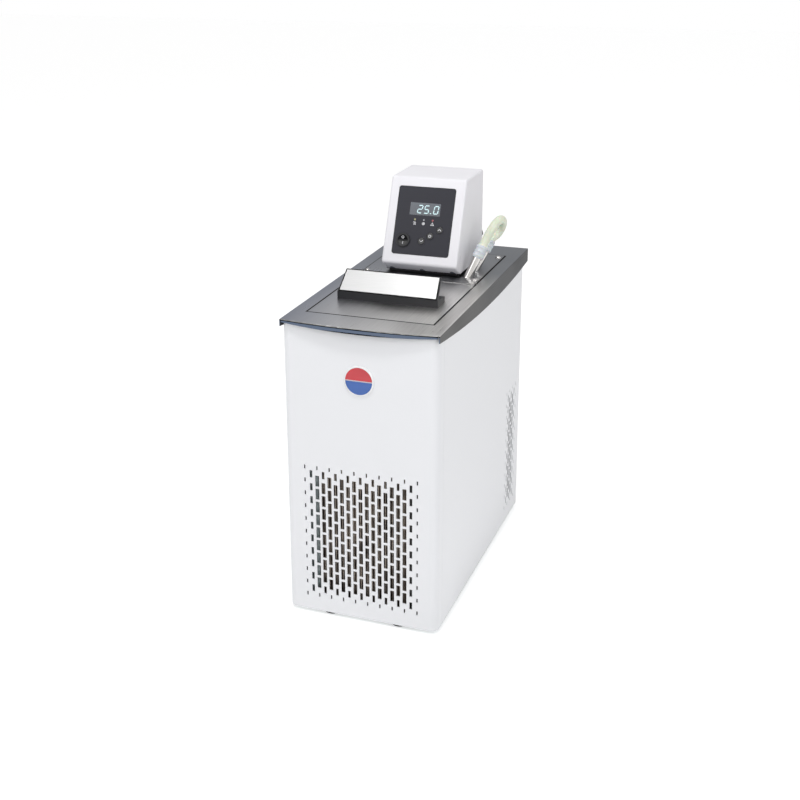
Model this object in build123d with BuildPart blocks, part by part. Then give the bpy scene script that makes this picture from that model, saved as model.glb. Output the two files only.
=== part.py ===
from build123d import *
from math import atan2, cos, degrees, hypot, radians, sin, sqrt, tan
import os

os.makedirs("parts", exist_ok=True)

# A narrow bench-top refrigerated circulator. Millimetres, +Z up. The origin is on the floor,
# under the middle of the overall box. The control head faces -Y.

# Deck, the stainless top of the unit
deck_width = 235.0
deck_length = 484.0  # front corners to rear edge
front_bow = 8.5  # how far the front edge bows out between its corners
deck_height = 458.0  # floor to the deck's top face
deck_sheet = 1.2
flange_front_depth = 10.5  # the side flanges hang down in a bow
flange_low_depth = 29.0
flange_low_at = 290.0  # where they are deepest, from the front corners
flange_rear_depth = 21.5
apron_end_depth = 4.5
apron_middle_depth = 8.0
apron_end_gap = 1.6
rear_flange_depth = 20.0
fold_radius = 1.0

# Cabinet
foot_height = 6.0
foot_diameter = 26.0
foot_inset_x = 63.0  # foot centre from the cabinet's side face
foot_inset_y = 19.0
stud_diameter = 6.0
pan_sheet = 1.5
pan_wall = 22.0
cabinet_sheet = 1.2
cabinet_corner = 12.0
flange_gap = 0.3  # between the deck's flanges and the side panels
panel_setback = 2.5  # front panel behind the deck's front corners
rear_overhang = 29.0  # deck past the rear panel
front_wrap = 23.0  # how far the front panel comes round to the seam
seam_gap = 0.6
tongue_length = 12.0
return_width = 14.0
loose_fit = 0.2

# Slot grilles
slot_pitch_x = 9.5
slot_pitch_z = 20.55
slot_rows = 11
slot_bottom_z = 31.5
full_slot = (6.1, 17.4)
middle_slot = (4.2, 11.5)
small_slot = (2.2, 6.4)
front_slot_columns = 19
side_slot_columns = 7
side_grille_from_rear = 24.0  # last column's centre from the rear panel
rear_slot_size = (6.0, 58.0)
rear_slot_columns = 13
rear_slot_pitch = 13.0
rear_slot_heights = (70.0, 150.0)

# Badge on the front panel
badge_diameter = 45.0
badge_rim = 2.4
badge_thickness = 1.8
badge_height = 379.0
badge_split = 1.8

# Lid and bridge plate lie in the deck's opening
lid_from_front = 44.5
lid_width = 189.0
lid_length = 202.0
lid_sheet = 1.2
lid_gap = 0.8
lid_corner = 1.5
lid_rim_height = 9.0
lid_rim_gap = 3.0
plate_length = 176.5
plate_sheet = 2.0
plate_lip_depth = 12.0
plate_lip_radius = 1.6

# Bath
bath_width = 165.0
bath_length = 345.0
bath_depth = 160.0
bath_corner = 12.0
bath_floor_radius = 8.0
bath_ledge = 11.5  # from the lid's front edge to the bath
tank_sheet = 1.0
tank_flange = 8.0  # how far the tank's flange runs under the deck
drain_x = 40.0
drain_from_rear_wall = 24.0
drain_bore = 10.0
drain_tube = 13.0
drain_drop = 45.0

# Lid handle
handle_width = 154.0
handle_from_lid_front = 73.0
handle_depth = 33.0
handle_base_height = 11.0
handle_rear_height = 8.5
wing_bottom_width = 152.0
wing_top_width = 146.0
wing_length = 39.5
wing_angle = 44.0  # from the lid's plane
wing_thickness = 3.2
face_thickness = 1.2
face_margin = 0.8
handle_screw_spacing = 110.0
handle_screw_diameter = 4.0
handle_screw_head = 8.0
handle_screw_head_height = 2.4
handle_screw_length = 9.0

# Screws of the bridge plate
plate_screw_x = 87.0
plate_screw_front = 21.7  # from the plate's front edge
plate_screw_rear = 17.3  # from the plate's rear edge
plate_screw_head = 9.0
plate_screw_dome = 3.0
plate_screw_shank = 4.0
plate_screw_length = 8.0

# Control head
head_width = 121.5
head_above_plate = 4.2  # black base shows in this gap
lip_setback = 12.0  # lip behind the bridge plate's front edge
chin_rise = 14.5
chin_run = 22.0
lean_run = 52.5
lean_rise = 126.5
head_top_depth = 93.0
head_wall = 2.5
head_edge_radius = 5.0
head_side_radius = 3.5
head_base_margin = 4.5
head_base_step = 1.0  # ledge under the cover's edge
head_base_ledge = 1.2
head_base_spigot = 3.0
notch_diameter = 9.0
notch_spacing = 49.0
side_slit = (1.2, 2.2)
side_slit_pitch = 3.4
side_slit_count = 6
side_slit_rise = 17.0
side_slit_places = (23.0, 69.0)  # behind the lip

# Control panel, measured up the leaning front from the lip
panel_width = 92.0
panel_height = 107.0
panel_centre = 68.5
panel_corner = 4.0
panel_pocket = 0.5
panel_sheet = 0.8
window_width = 49.0
window_height = 19.6
window_centre = 87.2
window_thickness = 0.7
window_ledge = 2.0
lamp_diameter = 2.9
lamp_height = 70.4
lamp_pitch = 14.3
lamp_thickness = 0.9
key_diameter = 10.4
key_places = {"key_down": (0.0, 37.6), "key_enter": (13.0, 46.0), "key_up": (27.2, 56.4)}
key_gap = 0.3
key_proud = 0.9
key_dome = 0.6
key_collar = 13.0
key_collar_thickness = 1.0
key_stem = 4.0
key_stem_length = 2.0
key_travel = 1.0
key_rim_width = 1.0
key_rim_height = 0.5
switch_place = (-29.4, 37.0)
switch_bezel_diameter = 22.5
switch_bezel_height = 2.6
switch_barrel_diameter = 19.6
switch_barrel_depth = 15.0
switch_wall = 1.6
switch_floor = 2.0
rocker_gap = 0.3
rocker_tilt = 11.0  # either way from level
rocker_pivot_height = 0.4
rocker_depth = 4.5
rocker_edge_rise = 2.3
rocker_valley = 0.2
rocker_pin = 2.4
rocker_pin_seat = 1.0

# Inside the head
board_behind_wall = 7.0
board_width = 84.0
board_height = 96.0
board_sheet = 1.6
board_post = 6.0
board_post_inset = 5.0
key_switch = 6.0
key_switch_height = 2.4
lamp_hole = 2.0
display_setback = 0.5  # display behind its window
motor_diameter = 62.0
motor_height = 72.0
motor_edge = 6.0
motor_socket = 12.0
hood_x = 38.0
hood_width = 34.0
hood_reach = 26.0
hood_top = 57.0  # above the head cover's lower edge
hood_tip = 28.0
hood_bottom = 21.0
hood_wall = 2.0

# Pump
pump_from_rear_wall = 50.5
shaft_diameter = 6.0
shaft_fit = 0.05
column_diameter = 22.0
column_bore = 15.0
column_flange = 46.0
column_flange_thickness = 3.0
column_bearing = 12.0
pump_diameter = 58.0
pump_height = 22.0
pump_wall = 3.0
pump_above_floor = 55.0
pump_inlet = 18.0
impeller_diameter = 44.0
impeller_disc = 2.0
impeller_blade_height = 7.0
impeller_blade_thickness = 1.8
impeller_blades = 6
impeller_hub = 12.0
impeller_gap = 2.0
impeller_floor = 1.0
pipe_diameter = 10.0
pipe_wall = 1.0
pipe_bend = 12.0

# Nozzles and bypass hose
nozzle_x = 72.4
nozzle_front = 36.7  # front nozzle from the bridge plate's front edge
nozzle_spacing = 42.5
nozzle_lean_x = 0.38  # lean for each millimetre of height
nozzle_lean_y = 0.45
nozzle_diameter = 12.5
nozzle_bore = 9.5
nozzle_length = 32.5  # bare tube, from the plate to the hose
nipple_length = 20.0
nipple_diameter = 11.4
barb_diameter = 13.4
barb_count = 3
rear_stub_length = 30.0  # return pipe under the plate
hose_diameter = 15.4
hose_bore = 10.6
hose_sleeve_diameter = 18.4
hose_sleeve_bore = 14.0
hose_shoulder = 1.5
hose_straight = 29.5  # from the front nipple to the bend

# Heater, probe and float, and the foam round the bath
heater_x = -46.0
heater_diameter = 8.0
heater_from_front = 52.0
heater_span = 74.0
heater_bend = 16.0
heater_low = 30.0  # above the bath's floor
heater_end = 7.0  # how far its ends stand in the head
collar_diameter = 12.0
collar_height = 3.0
jacket_wall = 18.0
jacket_floor = 20.0
jacket_top_gap = 12.0
probe_x = -16.0
probe_y = 46.0  # behind the bridge plate's front edge
probe_diameter = 4.0
probe_length = 104.0
float_x = 24.0
float_y = 46.0
float_rod_diameter = 5.0
float_rod_length = 76.0
float_stop = 11.0
float_stop_height = 2.5
float_diameter = 24.0
float_height = 26.0
float_clearance = 0.3

# Refrigeration set
condenser_width = 140.0
condenser_height = 222.0
condenser_depth = 40.0
condenser_from_front = 13.0
condenser_bottom = 8.0  # above the pan's floor
fin_count = 40
fin_thickness = 1.2
fin_depth = 9.0
end_plate_sheet = 1.5
end_plate_foot = 12.0
shroud_sheet = 1.5
shroud_width = 168.0
shroud_ring_depth = 24.0
fan_diameter = 148.0
fan_tip_gap = 3.0
fan_hub_diameter = 44.0
fan_hub_height = 20.0
fan_blades = 5
fan_blade_thickness = 1.8
fan_blade_pitch = 32.0
fan_blade_chord = 30.0
fan_shaft = 6.0
fan_motor_diameter = 52.0
fan_motor_length = 34.0
fan_running_gap = 2.0
arm_width = 12.0
arm_sheet = 2.5
compressor_diameter = 132.0
compressor_height = 158.0
compressor_x = -20.0
compressor_from_rear = 84.0  # axis from the rear panel
compressor_seam_height = 74.0
compressor_seam_width = 4.0
compressor_seam_thickness = 5.0
compressor_dome = 26.0
compressor_plate = 3.0
compressor_plate_size = (150.0, 112.0)
mount_height = 13.0
mount_diameter = 22.0
mount_inset = 12.0
mount_stud = 8.0
terminal_size = (46.0, 18.0, 52.0)
drier_x = 92.0
drier_from_rear = 190.0
drier_diameter = 20.0
drier_length = 84.0
drier_neck = 16.0
drier_taper = 22.0
drier_height = 190.0  # middle of the drier
line_diameter = 6.0
line_bend = 14.0
liquid_height = 36.0
discharge_height = 256.0
suction_x = -46.0
suction_diameter = 8.0

# Drain cock on the rear panel
cock_diameter = 22.0
cock_length = 15.0
cock_flange = 32.0
cock_flange_thickness = 3.0
cock_nipple = 11.0
cock_nipple_length = 10.0
cock_stem = 8.0
cock_stem_height = 7.0
cock_bore = 7.0
cock_plug_hole = 6.0
cock_boss = 13.0
cock_plug_depth = 6.0
lever_length = 24.0
lever_width = 10.0
lever_thickness = 4.0

# Mains inlet in the rear panel
inlet_place = (-78.0, 232.0)
inlet_flange = (50.0, 28.0)
inlet_corner = 3.0
inlet_flange_thickness = 2.0
inlet_body = (27.0, 20.0)
inlet_wall = 1.5
inlet_depth = 14.0
blade_pitch = 7.0
blade_size = (2.0, 4.0)
blade_length = 8.0

# Places worked out from the sizes above
half_deck = deck_width / 2
front = -(deck_length - front_bow) / 2
rear = front + deck_length
half_body = half_deck - deck_sheet - flange_gap
body_front = front + panel_setback
body_rear = rear - rear_overhang
seam_y = body_front + front_wrap
panel_top = deck_height - deck_sheet
pan_floor = foot_height + pan_sheet
lid_front = front + lid_from_front
lid_rear = lid_front + lid_length
plate_front = lid_rear + lid_gap
plate_rear = plate_front + plate_length
plate_top = panel_top + plate_sheet
opening_front = lid_front - lid_gap
opening_rear = plate_rear + lid_gap
opening_width = lid_width + 2 * lid_gap
bath_front = lid_front + bath_ledge
bath_rear = bath_front + bath_length
bath_floor = panel_top - bath_depth
lid_top = panel_top + lid_sheet
bow_radius = (half_deck**2 + front_bow**2) / (2 * front_bow)
bow_centre = front - front_bow + bow_radius


def across(y):
    """Upright plane that faces the front, at depth y. Local axes are X and Z."""
    return Plane.XZ.offset(-y)


def bow_y(x, inset):
    """Depth of the bowed front edge at x, on a line inset from it."""
    return bow_centre - sqrt((bow_radius - inset) ** 2 - x**2)


def slot_groups(columns, first_x):
    """Places of the full, middle and small slots of a staggered grille."""
    groups = {full_slot: [], middle_slot: [], small_slot: []}
    for column in range(columns):
        staggered = column % 2
        count = slot_rows - staggered
        edge = min(column, columns - 1 - column)
        for row in range(count):
            end = row in (0, count - 1)
            size = full_slot
            if edge == 0 or (end and not staggered):
                size = small_slot
            elif edge == 1 or end:
                size = middle_slot
            x = first_x + column * slot_pitch_x
            z = slot_bottom_z + (row + staggered / 2) * slot_pitch_z
            groups[size].append((x, z))
    return groups


def add_pipe(points, diameter, bend, mode=Mode.ADD):
    """Adds a round bar that follows the points, with bends of one radius."""
    with BuildLine() as route:
        FilletPolyline(*points, radius=bend)
    with BuildSketch(Plane(route.line ^ 0)) as section:
        Circle(diameter / 2)
    sweep(sections=section.sketch, path=route.line, mode=mode)


# Base pan, a folded tray inside the foot of the cabinet
pan_half = half_body - cabinet_sheet - loose_fit
pan_front = body_front + cabinet_sheet + loose_fit
pan_rear = body_rear - 2 * cabinet_sheet - loose_fit
foot_x = half_body - foot_inset_x
foot_places = [(x, y) for x in (-foot_x, foot_x) for y in (body_front + foot_inset_y, body_rear - foot_inset_y)]
with BuildPart() as base_pan:
    with BuildSketch(Plane.XY.offset(foot_height)):
        with Locations((0, (pan_front + pan_rear) / 2)):
            Rectangle(2 * pan_half, pan_rear - pan_front)
    extrude(amount=pan_wall)
    front_corners = base_pan.edges().filter_by(Axis.Z).group_by(Axis.Y)[0]
    fillet(front_corners, cabinet_corner - cabinet_sheet - loose_fit)
    offset(amount=-pan_sheet, openings=base_pan.faces().sort_by(Axis.Z)[-1])
    with BuildSketch(Plane.XY.offset(foot_height)):
        with Locations(*foot_places):
            Circle(stud_diameter / 2 + loose_fit)
    extrude(amount=pan_sheet, mode=Mode.SUBTRACT)
base_pan.part.label = "base_pan"
export_step(base_pan.part, "parts/base_pan.step")

# Rubber feet with a moulded stud that plugs into the pan
with BuildPart() as feet:
    with BuildSketch():
        with Locations(*foot_places):
            Circle(foot_diameter / 2)
    extrude(amount=foot_height)
    with BuildSketch(Plane.XY.offset(foot_height)):
        with Locations(*foot_places):
            Circle(stud_diameter / 2)
    extrude(amount=pan_sheet + stud_diameter / 2)
feet.part.label = "feet"
export_step(feet.part, "parts/feet.step")

# Front panel: one sheet folded round both front corners, punched with the staggered grille
inner_front = body_front + cabinet_sheet
inner_side = half_body - cabinet_sheet
with BuildPart() as front_panel:
    with BuildSketch(Plane.XY.offset(foot_height)):
        with BuildLine():
            FilletPolyline(
                (-half_body, seam_y),
                (-half_body, body_front),
                (half_body, body_front),
                (half_body, seam_y),
                radius=cabinet_corner,
            )
            Line((half_body, seam_y), (inner_side, seam_y))
            FilletPolyline(
                (inner_side, seam_y),
                (inner_side, inner_front),
                (-inner_side, inner_front),
                (-inner_side, seam_y),
                radius=cabinet_corner - cabinet_sheet,
            )
            Line((-inner_side, seam_y), (-half_body, seam_y))
        make_face()
    extrude(amount=panel_top - foot_height)
    for size, places in slot_groups(front_slot_columns, -(front_slot_columns - 1) / 2 * slot_pitch_x).items():
        with BuildSketch(across(body_front)):
            with Locations(*places):
                Rectangle(*size)
        extrude(amount=-2 * cabinet_sheet, mode=Mode.SUBTRACT)
front_panel.part.label = "front_panel"
export_step(front_panel.part, "parts/front_panel.step")

# Side panels: a tongue slips behind the front panel and the rear edge is folded in
tongue_x = inner_side - loose_fit - cabinet_sheet / 2
panel_start = seam_y + seam_gap
side_rear = body_rear - cabinet_sheet
grille_start = body_rear - side_grille_from_rear - (side_slot_columns - 1) * slot_pitch_x
tongue_bottom = foot_height + pan_wall + loose_fit
with BuildPart() as side_panel_right:
    with BuildSketch(Plane.XY.offset(foot_height)):
        with Locations((half_body - cabinet_sheet / 2, (panel_start + side_rear) / 2)):
            Rectangle(cabinet_sheet, side_rear - panel_start)
        with Locations((half_body - return_width / 2, side_rear - cabinet_sheet / 2)):
            Rectangle(return_width, cabinet_sheet)
    extrude(amount=panel_top - foot_height)
    with BuildSketch(Plane.XY.offset(tongue_bottom)):
        with Locations((tongue_x, panel_start + cabinet_sheet / 2 - tongue_length / 2)):
            Rectangle(cabinet_sheet, tongue_length + cabinet_sheet)
        with Locations(((tongue_x + half_body) / 2, panel_start + cabinet_sheet / 2)):
            Rectangle(half_body - tongue_x, cabinet_sheet)
    extrude(amount=panel_top - tongue_bottom)
    for size, places in slot_groups(side_slot_columns, grille_start).items():
        with BuildSketch(Plane.YZ.offset(half_body)):
            with Locations(*places):
                Rectangle(*size)
        extrude(amount=-2 * cabinet_sheet, mode=Mode.SUBTRACT)
side_panel_right.part.label = "side_panel_right"
export_step(side_panel_right.part, "parts/side_panel_right.step")

with BuildPart() as side_panel_left:
    add(mirror(side_panel_right.part, about=Plane.YZ, mode=Mode.PRIVATE))
side_panel_left.part.label = "side_panel_left"
export_step(side_panel_left.part, "parts/side_panel_left.step")

# Rear panel: flat sheet with two rows of air slots and the drain's hole
drain_y = bath_rear - drain_from_rear_wall
drain_z = bath_floor - tank_sheet - drain_drop
with BuildPart() as rear_panel:
    with BuildSketch(across(body_rear)):
        with Locations((0, (foot_height + panel_top) / 2)):
            Rectangle(2 * half_body, panel_top - foot_height)
        for height in rear_slot_heights:
            with Locations((0, height)):
                with GridLocations(rear_slot_pitch, 0, rear_slot_columns, 1):
                    Rectangle(*rear_slot_size, mode=Mode.SUBTRACT)
        with Locations((drain_x, drain_z)):
            Circle(drain_tube / 2 + loose_fit, mode=Mode.SUBTRACT)
        with Locations(inlet_place):
            Rectangle(inlet_body[0] + 2 * loose_fit, inlet_body[1] + 2 * loose_fit, mode=Mode.SUBTRACT)
    extrude(amount=cabinet_sheet)
rear_panel.part.label = "rear_panel"
export_step(rear_panel.part, "parts/rear_panel.step")

# Badge: a white disc with a rim, and a red and a blue half let into it
with BuildPart() as badge_plate:
    with BuildSketch(across(body_front)):
        with Locations((0, badge_height)):
            Circle(badge_diameter / 2)
    extrude(amount=badge_thickness)
    chamfer(badge_plate.edges().sort_by(Axis.Y)[0], badge_thickness / 3)
    with BuildSketch(across(body_front - badge_thickness)):
        with Locations((0, badge_height)):
            Circle(badge_diameter / 2 - badge_rim)
    extrude(amount=-badge_thickness / 2, mode=Mode.SUBTRACT)
badge_plate.part.label = "badge_plate"
export_step(badge_plate.part, "parts/badge_plate.step")

badge_face = across(body_front - badge_thickness / 2)
half_radius = badge_diameter / 2 - badge_rim - loose_fit
with BuildPart() as badge_hot:
    with BuildSketch(badge_face):
        with Locations((0, badge_height)):
            Circle(half_radius)
        with Locations((0, badge_height + badge_split / 2)):
            Rectangle(badge_diameter, badge_diameter, align=(Align.CENTER, Align.MAX), mode=Mode.SUBTRACT)
    extrude(amount=badge_thickness / 2)
badge_hot.part.label = "badge_hot"
export_step(badge_hot.part, "parts/badge_hot.step")

with BuildPart() as badge_cold:
    with BuildSketch(badge_face):
        with Locations((0, badge_height)):
            Circle(half_radius)
        with Locations((0, badge_height - badge_split / 2)):
            Rectangle(badge_diameter, badge_diameter, align=(Align.CENTER, Align.MIN), mode=Mode.SUBTRACT)
    extrude(amount=badge_thickness / 2)
badge_cold.part.label = "badge_cold"
export_step(badge_cold.part, "parts/badge_cold.step")

# Deck: one stainless sheet with a bowed front edge, folded down all round
apron_half = half_deck - deck_sheet - apron_end_gap
with BuildPart() as deck:
    with BuildSketch(Plane.XY.offset(panel_top)):
        with BuildLine():
            ThreePointArc((-half_deck, front), (0, front - front_bow), (half_deck, front))
            Polyline((half_deck, front), (half_deck, rear), (-half_deck, rear), (-half_deck, front))
        make_face()
        with Locations((0, (opening_front + opening_rear) / 2)):
            RectangleRounded(
                opening_width, opening_rear - opening_front, lid_corner + lid_gap, mode=Mode.SUBTRACT
            )
    extrude(amount=deck_sheet)
    fold_edges = deck.edges().filter_by(lambda edge: edge.center().Z > deck_height - deck_sheet / 4)
    opening_edges = fold_edges.filter_by(
        lambda edge: abs(edge.center().X) < half_deck - 1 and opening_front - 1 < edge.center().Y < opening_rear + 1
    )
    fillet(fold_edges - opening_edges, fold_radius)
    for side in (-1, 1):
        with BuildSketch(Plane.YZ.offset(side * (half_deck - deck_sheet / 2))):
            with BuildLine():
                ThreePointArc(
                    (front, deck_height - flange_front_depth),
                    (front + flange_low_at, deck_height - flange_low_depth),
                    (rear, deck_height - flange_rear_depth),
                )
                Polyline(
                    (rear, deck_height - flange_rear_depth),
                    (rear, panel_top),
                    (front, panel_top),
                    (front, deck_height - flange_front_depth),
                )
            make_face()
        extrude(amount=deck_sheet / 2, both=True)
    with BuildSketch(across(rear)):
        with Locations((0, panel_top)):
            Rectangle(2 * apron_half, rear_flange_depth, align=(Align.CENTER, Align.MAX))
    extrude(amount=deck_sheet)
    with BuildSketch(Plane.XY.offset(panel_top)):
        with BuildLine():
            ThreePointArc(
                (-apron_half, bow_y(apron_half, 0)), (0, front - front_bow), (apron_half, bow_y(apron_half, 0))
            )
            Line((apron_half, bow_y(apron_half, 0)), (apron_half, bow_y(apron_half, deck_sheet)))
            ThreePointArc(
                (apron_half, bow_y(apron_half, deck_sheet)),
                (0, front - front_bow + deck_sheet),
                (-apron_half, bow_y(apron_half, deck_sheet)),
            )
            Line((-apron_half, bow_y(apron_half, deck_sheet)), (-apron_half, bow_y(apron_half, 0)))
        make_face()
    extrude(amount=-apron_middle_depth)
    with BuildSketch(across(front - 2 * front_bow)):
        with BuildLine():
            ThreePointArc(
                (-apron_half - loose_fit, deck_height - apron_end_depth),
                (0, deck_height - apron_middle_depth),
                (apron_half + loose_fit, deck_height - apron_end_depth),
            )
            Polyline(
                (apron_half + loose_fit, deck_height - apron_end_depth),
                (apron_half + loose_fit, deck_height - 2 * apron_middle_depth),
                (-apron_half - loose_fit, deck_height - 2 * apron_middle_depth),
                (-apron_half - loose_fit, deck_height - apron_end_depth),
            )
        make_face()
    extrude(amount=-2 * front_bow - 2 * deck_sheet, mode=Mode.SUBTRACT)
deck.part.label = "deck"
export_step(deck.part, "parts/deck.step")

# Bath tank: drawn stainless box with rounded corners and a flange under the deck
flange_front = opening_front - tank_flange
flange_rear = opening_rear + tank_flange
bath_middle = (bath_front + bath_rear) / 2
with BuildPart() as bath_tank:
    with BuildSketch(Plane.XY.offset(bath_floor - tank_sheet)):
        with Locations((0, bath_middle)):
            RectangleRounded(bath_width + 2 * tank_sheet, bath_length + 2 * tank_sheet, bath_corner + tank_sheet)
    extrude(amount=bath_depth + tank_sheet)
    fillet(bath_tank.edges().group_by(Axis.Z)[0], bath_floor_radius + tank_sheet)
    offset(amount=-tank_sheet, openings=bath_tank.faces().sort_by(Axis.Z)[-1])
    with BuildSketch(Plane.XY.offset(panel_top - tank_sheet)):
        with Locations((0, (flange_front + flange_rear) / 2)):
            Rectangle(opening_width + 2 * tank_flange, flange_rear - flange_front)
        with Locations((0, bath_middle)):
            RectangleRounded(bath_width, bath_length, bath_corner, mode=Mode.SUBTRACT)
    extrude(amount=tank_sheet)
    with BuildSketch(Plane.XY.offset(bath_floor)):
        with Locations((drain_x, drain_y)):
            Circle(drain_bore / 2)
    extrude(amount=-2 * tank_sheet, mode=Mode.SUBTRACT)
    screw_places = [
        (x, y)
        for x in (-plate_screw_x, plate_screw_x)
        for y in (plate_front + plate_screw_front, plate_rear - plate_screw_rear)
    ]
    with BuildSketch(Plane.XY.offset(panel_top)):
        with Locations(*screw_places):
            Circle(plate_screw_shank / 2 + loose_fit)
    extrude(amount=-tank_sheet, mode=Mode.SUBTRACT)
bath_tank.part.label = "bath_tank"
export_step(bath_tank.part, "parts/bath_tank.step")

# Lid: flat plate flush with the deck, with a drip rim that hangs in the bath
rim_front = bath_front + lid_rim_gap
rim_rear = plate_front - lid_rim_gap
rim_width = bath_width - 2 * lid_rim_gap
rim_middle = (rim_front + rim_rear) / 2
handle_front = lid_front + handle_from_lid_front
handle_rear = handle_front + handle_depth
handle_middle = (handle_front + handle_rear) / 2
handle_screw_places = [(x, handle_middle) for x in (-handle_screw_spacing / 2, handle_screw_spacing / 2)]
with BuildPart() as lid_plate:
    with BuildSketch(Plane.XY.offset(panel_top)):
        with Locations((0, (lid_front + lid_rear) / 2)):
            RectangleRounded(lid_width, lid_length, lid_corner)
        with Locations(*handle_screw_places):
            Circle(handle_screw_diameter / 2 + loose_fit, mode=Mode.SUBTRACT)
    extrude(amount=lid_sheet)
    with BuildSketch(Plane.XY.offset(panel_top)):
        with Locations((0, rim_middle)):
            RectangleRounded(rim_width, rim_rear - rim_front, bath_corner - lid_rim_gap)
            RectangleRounded(
                rim_width - 2 * tank_sheet,
                rim_rear - rim_front - 2 * tank_sheet,
                bath_corner - lid_rim_gap - tank_sheet,
                mode=Mode.SUBTRACT,
            )
    extrude(amount=-lid_rim_height)
lid_plate.part.label = "lid_plate"
export_step(lid_plate.part, "parts/lid_plate.step")

# Lid handle: black moulded bar with a wing that leans back, open to the rear for the fingers
wing_run = wing_length * cos(radians(wing_angle))
wing_rise = wing_length * sin(radians(wing_angle))
wing_back_run = wing_thickness * sin(radians(wing_angle))
wing_back_drop = wing_thickness * cos(radians(wing_angle))
wing_root = wing_thickness / sin(radians(wing_angle))
handle_top = lid_top + handle_base_height
wing_face = Plane(
    origin=(0, handle_front, handle_top),
    x_dir=(1, 0, 0),
    z_dir=(0, -sin(radians(wing_angle)), cos(radians(wing_angle))),
)
with BuildPart() as lid_handle:
    with BuildSketch(Plane.YZ.offset(-handle_width / 2)):
        with BuildLine():
            Polyline(
                (handle_front, lid_top),
                (handle_rear, lid_top),
                (handle_rear, lid_top + handle_rear_height),
                (handle_front + wing_root, handle_top),
                (handle_front + wing_run + wing_back_run, handle_top + wing_rise - wing_back_drop),
                (handle_front + wing_run, handle_top + wing_rise),
                (handle_front, handle_top),
                close=True,
            )
        profile = make_face()
        fillet(profile.vertices().group_by(Axis.Y)[-1], wing_thickness / 4)
        fillet(profile.vertices().group_by(Axis.X)[-1].sort_by(Axis.Y)[-1], wing_thickness / 2)
    extrude(amount=handle_width)
    wing_start = wing_thickness / tan(radians(wing_angle))
    for side in (-1, 1):
        with BuildSketch(wing_face):
            with BuildLine():
                Polyline(
                    (side * wing_bottom_width / 2, wing_start),
                    (side * handle_width, wing_start),
                    (side * handle_width, 2 * wing_length),
                    (side * wing_top_width / 2, 2 * wing_length),
                    (side * wing_top_width / 2, wing_length),
                    close=True,
                )
            make_face()
        extrude(amount=-wing_thickness, mode=Mode.SUBTRACT)
    with BuildSketch(Plane.XY.offset(lid_top)):
        with Locations(*handle_screw_places):
            Circle(handle_screw_diameter / 2 + shaft_fit)
    extrude(amount=handle_screw_length - lid_sheet + loose_fit, mode=Mode.SUBTRACT)
lid_handle.part.label = "lid_handle"
export_step(lid_handle.part, "parts/lid_handle.step")

# Brushed face plate bonded to the front of the wing
with BuildPart() as handle_face:
    with BuildSketch(wing_face):
        with BuildLine():
            Polyline(
                (-wing_bottom_width / 2 + face_margin, face_margin),
                (wing_bottom_width / 2 - face_margin, face_margin),
                (wing_top_width / 2 - face_margin, wing_length - face_margin),
                (-wing_top_width / 2 + face_margin, wing_length - face_margin),
                close=True,
            )
        face_outline = make_face()
        fillet(face_outline.vertices(), face_margin)
    extrude(amount=face_thickness)
handle_face.part.label = "handle_face"
export_step(handle_face.part, "parts/handle_face.step")

# Pan-head screws that hold the handle from under the lid
with BuildPart() as handle_screws:
    with BuildSketch(Plane.XY.offset(panel_top)):
        with Locations(*handle_screw_places):
            Circle(handle_screw_head / 2)
    extrude(amount=-handle_screw_head_height)
    with BuildSketch(Plane.XY.offset(panel_top)):
        with Locations(*handle_screw_places):
            Circle(handle_screw_diameter / 2)
    extrude(amount=handle_screw_length)
handle_screws.part.label = "handle_screws"
export_step(handle_screws.part, "parts/handle_screws.step")

# Bridge plate: carries the head and all that hangs in the bath, with its front edge folded down
pump_y = bath_rear - pump_from_rear_wall
nozzle_places = [(nozzle_x, plate_front + nozzle_front + i * nozzle_spacing) for i in range(2)]
heater_legs = [(heater_x, plate_front + heater_from_front + i * heater_span) for i in range(2)]
probe_place = (probe_x, plate_front + probe_y)
float_place = (float_x, plate_front + float_y)
shaft_hole = shaft_diameter + 4.0
with BuildPart() as bridge_plate:
    with BuildSketch(Plane.XY.offset(panel_top)):
        with Locations((0, (plate_front + plate_rear) / 2)):
            Rectangle(lid_width, plate_length)
    extrude(amount=plate_sheet)
    fillet(bridge_plate.edges().filter_by(Axis.Z).group_by(Axis.Y)[-1], lid_corner)
    with BuildSketch(Plane.XY.offset(panel_top)):
        with Locations((0, plate_front)):
            Rectangle(rim_width, plate_sheet, align=(Align.CENTER, Align.MIN))
    extrude(amount=-plate_lip_depth)
    fillet(bridge_plate.edges().filter_by(Axis.X).group_by(Axis.Z)[-1].sort_by(Axis.Y)[0], plate_lip_radius)
    with BuildSketch(Plane.XY.offset(plate_top)):
        with Locations((0, pump_y)):
            Circle(shaft_hole / 2)
        with Locations(*nozzle_places):
            Circle(pipe_diameter / 2 + shaft_fit)
        with Locations(*heater_legs):
            Circle(heater_diameter / 2 + shaft_fit)
        with Locations(probe_place):
            Circle(probe_diameter / 2 + shaft_fit)
        with Locations(*screw_places):
            Circle(plate_screw_shank / 2 + loose_fit)
    extrude(amount=-plate_sheet, mode=Mode.SUBTRACT)
bridge_plate.part.label = "bridge_plate"
export_step(bridge_plate.part, "parts/bridge_plate.step")

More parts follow.
